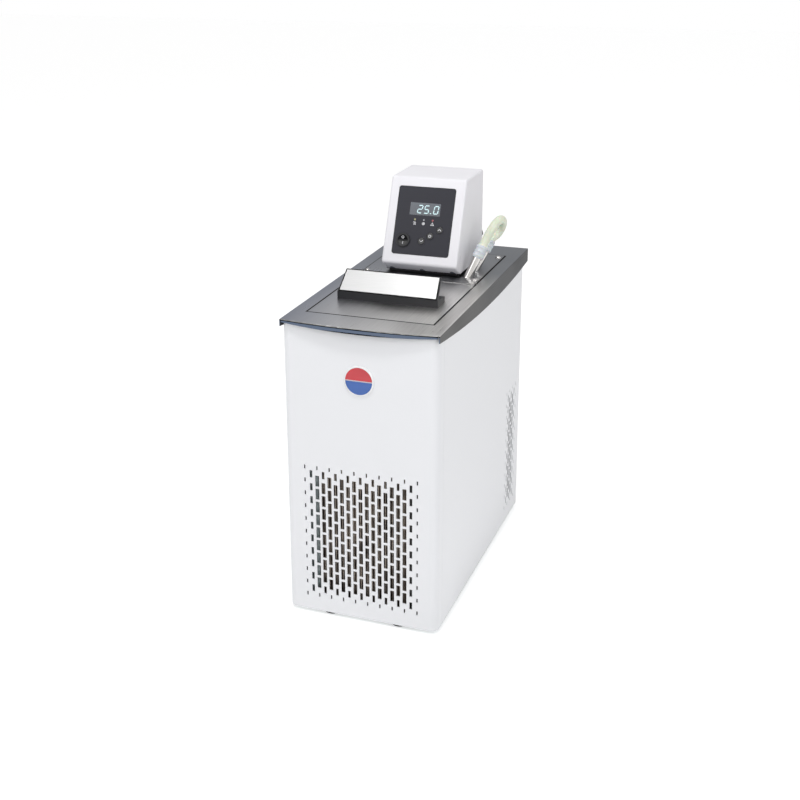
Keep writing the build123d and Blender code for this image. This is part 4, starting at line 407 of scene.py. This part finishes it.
float_white, tree, surface = finish("foamed_polypropylene", Roughness=0.65, IOR=1.49)
place = add(tree, "TexCoord").outputs["Object"]
mottle = add(tree, "TexNoise", {"Vector": place, "Scale": 1 / 0.002, "Detail": 3.0})
tone = add(tree, "Mix", {0: mottle.outputs[0], 6: linear("#d9d8d2"), 7: linear("#efeee9")}, data_type="RGBA")
relief = add(tree, "Bump", {"Strength": 0.2, "Distance": 0.0002, "Height": mottle.outputs[0]})
tree.links.new(tone.outputs[2], surface.inputs["Base Color"])
tree.links.new(relief.outputs[0], surface.inputs["Normal"])
dress(float_white, "level_float")


# The bypass hose: one short bend of moulded silicone tube that joins the pump's two nozzles.
# Its ends swell over the nipples and grip them with three moulded rings each.

lean = Vector((0.38, 0.45, 1.0)).normalized()
nozzle_front_base = Vector((0.0724, 0.04625, 0.4588))
nozzle_rear_base = Vector((0.0724, 0.08875, 0.4588))
tube_bare = 0.0325
grip_length = 0.0205
hose_radius = 0.0067
hose_bore = 0.0045
grip_radius = 0.0087
grip_bore = 0.0069
ring_rise = 0.0006
ring_count = 3
end_steps = 50

step_between = nozzle_rear_base - nozzle_front_base
rear_lag = step_between.dot(lean)
over = step_between - lean * rear_lag
leg_spacing = over.length
over.normalize()
hinge_line = lean.cross(over)

# Knots of the free loop: across from the front leg, up along the lean, and out to the side.
# Between its grips the hose bows out a little further than the nozzles stand apart.
front_end, rear_end = tube_bare + 0.02, tube_bare + 0.02 + rear_lag
knots = [(0.0, front_end - 0.008, 0.0), (0.0, front_end, 0.0), (0.0, front_end + 0.012, 0.0002),
         (-0.0014, 0.077, 0.0006), (0.0022, 0.0905, 0.0020), (0.0110, 0.0992, 0.0040), (0.0226, 0.1015, 0.0060),
         (0.0344, 0.0983, 0.0076), (0.0426, 0.0900, 0.0078), (0.0448, 0.080, 0.0058),
         (leg_spacing + 0.0024, 0.0735, 0.0022),
         (leg_spacing, rear_end, 0.0), (leg_spacing, rear_end - 0.008, 0.0)]
spots = [nozzle_front_base + over * a + lean * b + Vector((c, 0, 0)) for a, b, c in knots]

# Stations along the hose: middle point, direction, and distance from the nearer end.
stations = []
for i in range(end_steps + 1):
    along = (front_end - tube_bare) * i / end_steps
    stations.append((nozzle_front_base + lean * (tube_bare + along), lean, along))
knot_steps = 8
for i in range(1, len(spots) - 2):
    a, b, c, d = spots[i - 1:i + 3]
    for j in range(knot_steps):
        t = j / knot_steps
        if i == 1 and j == 0:
            continue
        curve, twist = 2 * a - 5 * b + 4 * c - d, 3 * b - a - 3 * c + d
        point = 0.5 * (2 * b + (c - a) * t + curve * t ** 2 + twist * t ** 3)
        heading = (c - a) + 2 * curve * t + 3 * twist * t ** 2
        stations.append((point, heading.normalized(), 1.0))
for i in range(end_steps, -1, -1):
    along = (front_end - tube_bare) * i / end_steps
    stations.append((nozzle_rear_base + lean * (tube_bare + along), -lean, along))

hose_sides = 48
verts, faces, in_grip = [], [], []
for wall in ("outside", "inside"):
    for point, direction, along in stations:
        radius = hose_radius if wall == "outside" else hose_bore
        if along < grip_length and wall == "outside":
            ring = max(0.0, cos((along / grip_length * ring_count - 0.5) * 2 * pi)) ** 0.6
            radius = grip_radius + ring_rise * ring
        if along < grip_length - 0.001 and wall == "inside":
            radius = grip_bore
        sideways = hinge_line.cross(direction).normalized()
        level = direction.cross(sideways)
        for k in range(hose_sides):
            angle = 2 * pi * k / hose_sides
            verts.append(point + sideways * (radius * cos(angle)) + level * (radius * sin(angle)))
rows = len(stations)
for wall in range(2):
    for row in range(rows - 1):
        for k in range(hose_sides):
            a = (wall * rows + row) * hose_sides + k
            b = (wall * rows + row) * hose_sides + (k + 1) % hose_sides
            quad = (a, b, b + hose_sides, a + hose_sides)
            faces.append(quad if wall == 1 else quad[::-1])
            in_grip.append(stations[row][2] < grip_length and stations[row + 1][2] < grip_length)
for row in (0, rows - 1):
    for k in range(hose_sides):
        a = row * hose_sides + k
        b = row * hose_sides + (k + 1) % hose_sides
        quad = (a, b, b + rows * hose_sides, a + rows * hose_sides)
        faces.append(quad if row == 0 else quad[::-1])
        in_grip.append(True)
mesh = bpy.data.meshes.new("silicone_hose")
mesh.from_pydata(verts, [], faces)
mesh.update()
mesh.shade_smooth()
hose = bpy.data.objects.new("silicone_hose", mesh)
bpy.context.collection.objects.link(hose)

# Silicone rubber: milky and greenish cream. Light soaks into it, so the steel under it shows
# as a soft bluish grey at the swollen ends.
for name, deep, pale, dullness in (
    ("milky_silicone", "#cfd6c2", "#e2e5d3", 0.3),
    ("silicone_over_steel", "#b3bcc3", "#dde1e4", 0.24),
):
    silicone, tree, surface = finish(name, Roughness=dullness, IOR=1.41, Subsurface_Weight=0.2,
                                     Subsurface_Scale=0.002)
    place = add(tree, "TexCoord").outputs["Object"]
    milk = add(tree, "TexNoise", {"Vector": place, "Scale": 1 / 0.012, "Detail": 2.0})
    tone = add(tree, "Mix", {0: milk.outputs[0], 6: linear(deep), 7: linear(pale)}, data_type="RGBA")
    skin = add(tree, "TexNoise", {"Vector": place, "Scale": 1 / 0.0015, "Detail": 1.0})
    relief = add(tree, "Bump", {"Strength": 0.06, "Distance": 0.0001, "Height": skin.outputs[0]})
    tree.links.new(tone.outputs[2], surface.inputs["Base Color"])
    tree.links.new(relief.outputs[0], surface.inputs["Normal"])
    mesh.materials.append(silicone)
for polygon, gripped in zip(mesh.polygons, in_grip):
    polygon.material_index = 1 if gripped else 0
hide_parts("bypass_hose")
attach(hose, "cabinet")


# The control head: a light grey moulded cover on the black base, with a black hood over its
# rear sockets. It leans back, so that its panel faces the user.

# Light grey moulding: fine spark eroded grain, drawn 1.2 mm across, soft satin.
head_abs, tree, surface = finish("light_grey_moulded_abs", Roughness=0.5, IOR=1.53)
place = add(tree, "TexCoord").outputs["Object"]
grain = add(tree, "TexNoise", {"Vector": place, "Scale": 1 / 0.0012, "Detail": 2.0})
shade = add(tree, "TexNoise", {"Vector": place, "Scale": 1 / 0.06, "Detail": 1.0})
tone = add(tree, "Mix", {0: shade.outputs[0], 6: linear("#e4e3e8"), 7: linear("#ebeaee")}, data_type="RGBA")
relief = add(tree, "Bump", {"Strength": 0.08, "Distance": 0.0001, "Height": grain.outputs[0]})
tree.links.new(tone.outputs[2], surface.inputs["Base Color"])
tree.links.new(relief.outputs[0], surface.inputs["Normal"])
dress(head_abs, "head_cover")

# Three half-round sheets in the chin's notches carry a blue grey painted reflection of the deck.
chin_foot = Vector((0.0, 0.04355, 0.4630))
chin_run_to_rise = 22.0 / 14.5
notch_radius = 0.0043
notch_steps = 16
notch_verts, notch_faces = [], []
for middle in (-0.049, 0.0, 0.049):
    start = len(notch_verts)
    for i in range(notch_steps + 1):
        rise = notch_radius * sin(pi * i / notch_steps)
        aside = middle - notch_radius * cos(pi * i / notch_steps)
        notch_verts.append(chin_foot + Vector((aside, -chin_run_to_rise * rise, rise)))
    notch_faces.append(tuple(range(start, len(notch_verts))))
notch_mesh = bpy.data.meshes.new("chin_notch_reflection")
notch_mesh.from_pydata(notch_verts, [], notch_faces)
notch_mesh.update()
# Blue grey painted reflection of the steel deck, laid on the notch sheets.
notch_reflection, tree, surface = finish("painted_notch_reflection", Metallic=0.5, Roughness=0.5)
place = add(tree, "TexCoord").outputs["Object"]
dust_and_reflection_mottle = add(tree, "TexNoise", {"Vector": place, "Scale": 1 / 0.003, "Detail": 2.0})
tone = add(tree, "Mix", {0: dust_and_reflection_mottle.outputs[0], 6: linear("#787d8a"), 7: linear("#9a9dab")}, data_type="RGBA")
tree.links.new(tone.outputs[2], surface.inputs["Base Color"])
notch_mesh.materials.append(notch_reflection)
notch_sheets = bpy.data.objects.new("chin_notch_reflection", notch_mesh)
bpy.context.collection.objects.link(notch_sheets)
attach(notch_sheets, "cabinet")


# The control panel: a dark grey polyester sheet, printed on its back and stuck into a pocket
# of the cover. A narrow darker line runs round its edge, and the window is cut through it.

panel_origin = Vector((0.0, 0.02155, 0.4775))
panel_up = Vector((0.0, 0.38332, 0.92363))
panel_out = Vector((0.0, -0.92363, 0.38332))
panel_size = (0.092, 0.107)
panel_centre = 0.0685
panel_corner = 0.004
edge_line = 0.0009


def on_panel(x, up, out=0.0):
    """A point of the leaning panel, in metres across, up its slope and out of it."""
    return panel_origin + Vector((x, 0, 0)) + panel_up * up + panel_out * out


panel_sheet, tree, surface = finish("printed_polyester_sheet", Roughness=0.44, IOR=1.55, Specular_IOR_Level=0.3)
place = add(tree, "TexCoord").outputs["Object"]
from_centre = add(tree, "VectorMath", {0: place, 1: on_panel(0, panel_centre)}, operation="SUBTRACT")
upward = add(tree, "VectorMath", {0: from_centre.outputs[0], 1: panel_up}, operation="DOT_PRODUCT")
apart = add(tree, "SeparateXYZ", {"Vector": from_centre.outputs[0]})
reach = []
for value, half in ((apart.outputs[0], panel_size[0] / 2), (upward.outputs["Value"], panel_size[1] / 2)):
    away = add(tree, "Math", {0: value}, operation="ABSOLUTE")
    past = add(tree, "Math", {0: away.outputs[0], 1: half - panel_corner}, operation="SUBTRACT")
    kept = add(tree, "Math", {0: past.outputs[0], 1: 0.0}, operation="MAXIMUM")
    reach.append(kept.outputs[0])
corner = add(tree, "CombineXYZ", {0: reach[0], 1: reach[1]})
rounded = add(tree, "VectorMath", {0: corner.outputs[0]}, operation="LENGTH")
border = add(tree, "MapRange", {"Value": rounded.outputs["Value"], "From Min": panel_corner - edge_line * 1.4,
                                "From Max": panel_corner - edge_line * 0.8})
grain = add(tree, "TexNoise", {"Vector": place, "Scale": 1 / 0.0011, "Detail": 2.0})
shade = add(tree, "Mix", {0: grain.outputs[0], 6: linear("#1b1b25"), 7: linear("#25252f")}, data_type="RGBA")
tone = add(tree, "Mix", {0: border.outputs[0], 6: shade.outputs[2], 7: linear("#1d1d21")}, data_type="RGBA")
relief = add(tree, "Bump", {"Strength": 0.12, "Distance": 0.00008, "Height": grain.outputs[0]})
tree.links.new(tone.outputs[2], surface.inputs["Base Color"])
tree.links.new(relief.outputs[0], surface.inputs["Normal"])
dress(panel_sheet, "control_panel")

# Window: tinted acrylic over a lit display, blue grey and glossy, a little paler at its top.
window_up = 0.0872
window_half = 0.01
acrylic, tree, surface = finish("tinted_acrylic_window", Roughness=0.12, IOR=1.49, Coat_Weight=0.3)
place = add(tree, "TexCoord").outputs["Object"]
from_centre = add(tree, "VectorMath", {0: place, 1: on_panel(0, window_up)}, operation="SUBTRACT")
upward = add(tree, "VectorMath", {0: from_centre.outputs[0], 1: panel_up}, operation="DOT_PRODUCT")
climb = add(tree, "MapRange", {"Value": upward.outputs["Value"], "From Min": -window_half,
                               "From Max": window_half})
tone = add(tree, "Mix", {0: climb.outputs[0], 6: linear("#222c3a"), 7: linear("#303b49")}, data_type="RGBA")
tree.links.new(tone.outputs[2], surface.inputs["Base Color"])
dress(acrylic, "display_window")

# Lamp lenses: three drops of clear resin over lamps, yellow, off, and red, from left to right.
between_lamps = 0.007
lens, tree, surface = finish("cast_resin_lenses", Roughness=0.2, IOR=1.5)
across = add(tree, "SeparateXYZ", {"Vector": add(tree, "TexCoord").outputs["Object"]})
past_first = add(tree, "Math", {0: across.outputs[0], 1: -between_lamps}, operation="GREATER_THAN")
past_second = add(tree, "Math", {0: across.outputs[0], 1: between_lamps}, operation="GREATER_THAN")
first = add(tree, "Mix", {0: past_first.outputs[0], 6: linear("#a8a477"), 7: linear("#8b8c91")},
            data_type="RGBA")
tone = add(tree, "Mix", {0: past_second.outputs[0], 6: first.outputs[2], 7: linear("#a04c54")},
           data_type="RGBA")
tree.links.new(tone.outputs[2], surface.inputs["Base Color"])
dress(lens, "lamp_lenses")


# The printing on the panel, keys and switch: screen printed ink and the lit figures of the
# display. Each mark is a very thin skin laid on the part that carries it.

mark_lift = 0.00005


def stroke(points, width, closed=False):
    """Quads that cover a line of this width through points (x, up), with mitred corners."""
    count = len(points)
    left, right = [], []
    for i, (x, y) in enumerate(points):
        before = points[i - 1] if i or closed else None
        after = points[(i + 1) % count] if i + 1 < count or closed else None
        runs = []
        if before:
            runs.append(Vector((x - before[0], y - before[1])).normalized())
        if after:
            runs.append(Vector((after[0] - x, after[1] - y)).normalized())
        heading = sum(runs, Vector((0, 0))).normalized()
        spread = width / 2 / max(0.4, heading.dot(runs[0]))
        normal = Vector((-heading.y, heading.x)) * spread
        left.append((x + normal.x, y + normal.y))
        right.append((x - normal.x, y - normal.y))
    last = count if closed else count - 1
    return [(right[i], right[(i + 1) % count], left[(i + 1) % count], left[i]) for i in range(last)]


def circle(x, up, radius, count=24):
    """Points round a circle."""
    return [(x + radius * cos(2 * pi * i / count), up + radius * sin(2 * pi * i / count)) for i in range(count)]


def lay_mark(name, shapes, node, material, body):
    """Lay flat shapes (x, up) on a CAD node, square to the panel, as one thin piece on its body."""
    data = nodes[node].data
    ground = BVHTree.FromPolygons([v.co for v in data.vertices], [p.vertices[:] for p in data.polygons])
    points, polygons = [], []
    for shape in shapes:
        start = len(points)
        for x, up in shape:
            hit = ground.ray_cast(on_panel(x, up, 0.02), -panel_out, 0.04)[0]
            points.append((hit if hit else on_panel(x, up, 0.0003)) + panel_out * mark_lift)
        polygons.append(tuple(range(start, len(points))))
    skin = bpy.data.meshes.new(name)
    skin.from_pydata(points, [], polygons)
    skin.update()
    skin.materials.append(material)
    mark = bpy.data.objects.new(name, skin)
    bpy.context.collection.objects.link(mark)
    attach(mark, body)


# Lit figures: pale cyan segments that glow a little, with an even face.
lit, tree, surface = finish("lit_segments", Roughness=0.3, Emission_Color=linear("#dcf2f4"),
                            Emission_Strength=0.3)
place = add(tree, "TexCoord").outputs["Object"]
glow = add(tree, "TexNoise", {"Vector": place, "Scale": 1 / 0.003, "Detail": 1.0})
tone = add(tree, "Mix", {0: glow.outputs[0], 6: linear("#a9c9ce"), 7: linear("#c0dde0")}, data_type="RGBA")
tree.links.new(tone.outputs[2], surface.inputs["Base Color"])

# Screen printed ink: off-white, matt, a hair uneven where the mesh has left its weave.
ink, tree, surface = finish("screen_printed_ink", Roughness=0.55, IOR=1.5)
place = add(tree, "TexCoord").outputs["Object"]
weave = add(tree, "TexNoise", {"Vector": place, "Scale": 1 / 0.0006, "Detail": 1.0})
tone = add(tree, "Mix", {0: weave.outputs[0], 6: linear("#d4d4d8"), 7: linear("#efeff2")}, data_type="RGBA")
tree.links.new(tone.outputs[2], surface.inputs["Base Color"])

# The figures read 25.0 and stand on the right of the window, slanting a little.
figure_width = 0.0082
figure_height = 0.0133
segment_width = 0.0016
segment_gap = 0.00022
figure_foot = window_up - 0.0070
slant = 0.14
half_w, half_h = figure_width / 2 - segment_width / 2, figure_height / 2 - segment_width / 2
segment_ends = {
    "top": ((-half_w, 2 * half_h), (half_w, 2 * half_h)),
    "middle": ((-half_w, half_h), (half_w, half_h)),
    "foot": ((-half_w, 0), (half_w, 0)),
    "high_left": ((-half_w, half_h), (-half_w, 2 * half_h)),
    "high_right": ((half_w, half_h), (half_w, 2 * half_h)),
    "low_left": ((-half_w, 0), (-half_w, half_h)),
    "low_right": ((half_w, 0), (half_w, half_h)),
}
figures = {
    "2": ("top", "high_right", "middle", "low_left", "foot"),
    "5": ("top", "high_left", "middle", "low_right", "foot"),
    "0": ("top", "high_left", "high_right", "low_left", "low_right", "foot"),
}
segments = []
for figure, centre in (("2", -0.0088), ("5", 0.0018), ("0", 0.0170)):
    for part in figures[figure]:
        (x1, y1), (x2, y2) = segment_ends[part]
        run = Vector((x2 - x1, y2 - y1)).normalized()
        side_way = Vector((-run.y, run.x)) * (segment_width / 2)
        tip = segment_width / 2
        a = Vector((x1, y1)) + run * segment_gap
        b = Vector((x2, y2)) - run * segment_gap
        outline = (a, a + run * tip - side_way, b - run * tip - side_way, b, b - run * tip + side_way,
                   a + run * tip + side_way)
        segments.append([(centre + p.x + slant * p.y, figure_foot + segment_width / 2 + p.y) for p in outline])
segments.append(circle(0.0094, figure_foot + segment_width / 2, segment_width * 0.58, 12))
lay_mark("lit_figures", segments, "display_window", lit, "cabinet")

# Below the lamps: wavy lines for heating, a wheel for the pump, and a triangle for an alarm.
sign_up = 0.0646
lamp_pitch = 0.0143
hub_radius, wheel_radius = 0.0009, 0.0019
waves = []
for rise in (-0.0018, 0.0, 0.0018):
    wavy = [(-lamp_pitch - 0.0021 + 0.0042 * i / 8, sign_up + rise + 0.0004 * sin(i * pi / 2)) for i in range(9)]
    waves += stroke(wavy, 0.0007)
wheel = stroke(circle(0.0, sign_up, wheel_radius), 0.0007, closed=True)
wheel += [circle(0.0, sign_up, hub_radius, 12)]
for turn in range(4):
    out = Vector((cos(pi / 4 + pi / 2 * turn), sin(pi / 4 + pi / 2 * turn)))
    wheel += stroke([(out.x * reach, sign_up + out.y * reach) for reach in (hub_radius, wheel_radius)], 0.0005)
alarm = stroke([(lamp_pitch - 0.0024, sign_up - 0.0018), (lamp_pitch + 0.0024, sign_up - 0.0018),
                (lamp_pitch, sign_up + 0.0024)], 0.0006, closed=True)
alarm += stroke([(lamp_pitch, sign_up - 0.0002), (lamp_pitch, sign_up + 0.0011)], 0.0006)
alarm += [circle(lamp_pitch, sign_up - 0.0009, 0.00035, 8)]
lay_mark("lamp_signs", waves + wheel + alarm, "control_panel", ink, "cabinet")

# Keys: glossy black caps with a chevron down, a ring, and a chevron up.
key_black, tree, surface = finish("black_polycarbonate_keys", Roughness=0.26, IOR=1.58, Specular_IOR_Level=0.45)
place = add(tree, "TexCoord").outputs["Object"]
grain = add(tree, "TexNoise", {"Vector": place, "Scale": 1 / 0.001, "Detail": 2.0})
tone = add(tree, "Mix", {0: grain.outputs[0], 6: linear("#101012"), 7: linear("#19191c")}, data_type="RGBA")
relief = add(tree, "Bump", {"Strength": 0.06, "Distance": 0.00005, "Height": grain.outputs[0]})
tree.links.new(tone.outputs[2], surface.inputs["Base Color"])
tree.links.new(relief.outputs[0], surface.inputs["Normal"])
dress(key_black, "key_down", "key_enter", "key_up")

sign_line = 0.0008
key_signs = {
    "down": (0.0, 0.0376, [(-0.0027, 0.0012), (-0.00135, 0), (0, -0.0012), (0.00135, 0), (0.0027, 0.0012)]),
    "up": (0.0272, 0.0564, [(-0.0027, -0.0012), (-0.00135, 0), (0, 0.0012), (0.00135, 0), (0.0027, -0.0012)]),
}
for key, (x, up, line) in key_signs.items():
    chevron = stroke([(x + dx, up + dy) for dx, dy in line], sign_line)
    lay_mark("sign_" + key, chevron, "key_" + key, ink, key + "_key")
enter_ring = stroke(circle(0.013, 0.046, 0.0018, 20), sign_line, closed=True)
lay_mark("sign_enter", enter_ring, "key_enter", ink, "enter_key")


# The power switch: a round rocker of glossy black plastic that snaps into a bezel. A ring
# marks its off side and a bar its on side, which is pressed in.

gloss_black, tree, surface = finish("gloss_black_polycarbonate", Roughness=0.14, IOR=1.58,
                                    Specular_IOR_Level=0.25)
place = add(tree, "TexCoord").outputs["Object"]
smear = add(tree, "TexNoise", {"Vector": place, "Scale": 1 / 0.008, "Detail": 3.0})
tone = add(tree, "Mix", {0: smear.outputs[0], 6: linear("#0e0e10"), 7: linear("#17171a")}, data_type="RGBA")
dull = add(tree, "MapRange", {"Value": smear.outputs[0], "To Min": 0.1, "To Max": 0.2})
tree.links.new(tone.outputs[2], surface.inputs["Base Color"])
tree.links.new(dull.outputs[0], surface.inputs["Roughness"])
dress(gloss_black, "switch_rocker")
ring = stroke(circle(-0.0294, 0.0412, 0.0017), 0.0008, closed=True)
lay_mark("sign_off", ring, "switch_rocker", ink, "power_rocker")
bar = stroke([(-0.0294, 0.0308), (-0.0294, 0.0326), (-0.0294, 0.0345)], 0.0009)
lay_mark("sign_on", bar, "switch_rocker", ink, "power_rocker")


# The control board: green solder mask over copper tracks on glass epoxy, screwed to four
# posts behind the panel. The tracks show as lighter lines 2.5 mm apart.

board, tree, surface = finish("solder_masked_epoxy", Roughness=0.35, IOR=1.55)
place = add(tree, "TexCoord").outputs["Object"]
tracks = add(tree, "TexBrick", {"Vector": place, "Scale": 1 / 0.02, "Color1": linear("#1e5c34"),
                                "Color2": linear("#27693d"), "Mortar": linear("#4f9a5c"), "Mortar Size": 0.02})
relief = add(tree, "Bump", {"Strength": 0.3, "Distance": 0.0001, "Height": tracks.outputs["Fac"]})
tree.links.new(tracks.outputs["Color"], surface.inputs["Base Color"])
tree.links.new(relief.outputs[0], surface.inputs["Normal"])
dress(board, "control_board")


# The studio: a plain white sweep, one large softbox high on the left, a weaker one on the
# right, one overhead that throws the deck's shadow down the front, and an even white surround.

floor_mesh = bpy.data.meshes.new("studio_floor")
floor_mesh.from_pydata([(-9, -9, 0), (9, -9, 0), (9, 9, 0), (-9, 9, 0)], [], [(0, 1, 2, 3)])
floor = bpy.data.objects.new("studio_floor", floor_mesh)
bpy.context.collection.objects.link(floor)
paper_glow = 0.45
paper, tree, surface = finish("white_paper", Base_Color=linear("#f7f7f7"), Roughness=0.9)
paths = add(tree, "LightPath")
seen = add(tree, "Math", {0: paths.outputs["Is Camera Ray"], 1: paths.outputs["Is Glossy Ray"]},
           operation="MAXIMUM")
through = add(tree, "Math", {0: seen.outputs[0], 1: paths.outputs["Is Transmission Ray"]},
              operation="MAXIMUM")
lift = add(tree, "Math", {0: through.outputs[0], 1: paper_glow}, operation="MULTIPLY")
surface.inputs["Emission Color"].default_value = linear("#ffffff")
tree.links.new(lift.outputs[0], surface.inputs["Emission Strength"])
floor_mesh.materials.append(paper)

fill_light = 0.56
flag_edge, flag_middle, flag_darkness = -0.5, -0.62, 0.88
world = bpy.data.worlds.new("studio_surround")
bpy.context.scene.world = world
world.use_nodes = True
tree = world.node_tree
tree.nodes.clear()
paths = add(tree, "LightPath")
seen = add(tree, "Math", {0: paths.outputs["Is Camera Ray"], 1: paths.outputs["Is Glossy Ray"]},
           operation="MAXIMUM")
through = add(tree, "Math", {0: seen.outputs[0], 1: paths.outputs["Is Transmission Ray"]},
              operation="MAXIMUM")
level = add(tree, "MapRange", {"Value": through.outputs[0], "To Min": fill_light, "To Max": 1.0})
# A black flag stands on the far left. Only reflections show it, as dark streaks on bright metal.
heading = add(tree, "SeparateXYZ", {"Vector": add(tree, "TexCoord").outputs["Generated"]})
flag = add(tree, "MapRange", {"Value": heading.outputs[0], "From Min": flag_edge, "From Max": flag_middle,
                              "To Max": flag_darkness})
mirrored = add(tree, "Math", {0: flag.outputs[0], 1: paths.outputs["Is Glossy Ray"]}, operation="MULTIPLY")
flagged = add(tree, "Math", {0: level.outputs[0], 1: mirrored.outputs[0]}, operation="SUBTRACT")
surround = add(tree, "Background", {"Color": linear("#ffffff"), "Strength": flagged.outputs[0]})
add(tree, "OutputWorld", {"Surface": surround.outputs[0]})

for name, spot, size, power in (
    ("softbox_left", (-1.5, -2.1, 1.9), 1.6, 15.0),
    ("softbox_right", (1.9, -1.2, 1.6), 1.4, 13.5),
    ("softbox_above", (-0.05, -0.85, 2.4), 0.3, 14.0),
):
    light = bpy.data.lights.new(name, "AREA")
    light.shape = "DISK"
    light.size = size
    light.energy = power
    lamp = bpy.data.objects.new(name, light)
    bpy.context.collection.objects.link(lamp)
    lamp.location = spot
    lamp.rotation_euler = (Vector(spot) - Vector((0, 0, 0.3))).to_track_quat("Z", "Y").to_euler()
    lamp.visible_camera = False


# The camera stands to the right of the front and a little above it, as the photograph was
# taken, and the shift puts the object where the photograph has it.

camera_place = Vector((0.6048407, -1.7913838, 1.0106008))
azimuth, elevation, roll = radians(21.40747), radians(18.00301), radians(-0.72166)
focal_pixels = 1288.544
image_size = 800
optical_centre = (354.680, 320.0)
back = Vector((sin(azimuth) * cos(elevation), -cos(azimuth) * cos(elevation), sin(elevation)))
right = (-back).cross(Vector((0, 0, 1))).normalized()
above = right.cross(-back)
turned_right = right * cos(roll) + above * sin(roll)
turned_above = above * cos(roll) - right * sin(roll)
lens_data = bpy.data.cameras.new("studio_camera")
lens_data.sensor_width = 36.0
lens_data.lens = focal_pixels / image_size * 36.0
lens_data.shift_x = 0.5 - optical_centre[0] / image_size
lens_data.shift_y = optical_centre[1] / image_size - 0.5
lens_data.clip_start = 0.01
lens_data.clip_end = 60.0
camera = bpy.data.objects.new("studio_camera", lens_data)
bpy.context.collection.objects.link(camera)
turned = Matrix((turned_right, turned_above, back)).transposed().to_4x4()
camera.matrix_world = Matrix.Translation(camera_place) @ turned
bpy.context.scene.camera = camera
bpy.context.scene.view_settings.view_transform = "Standard"
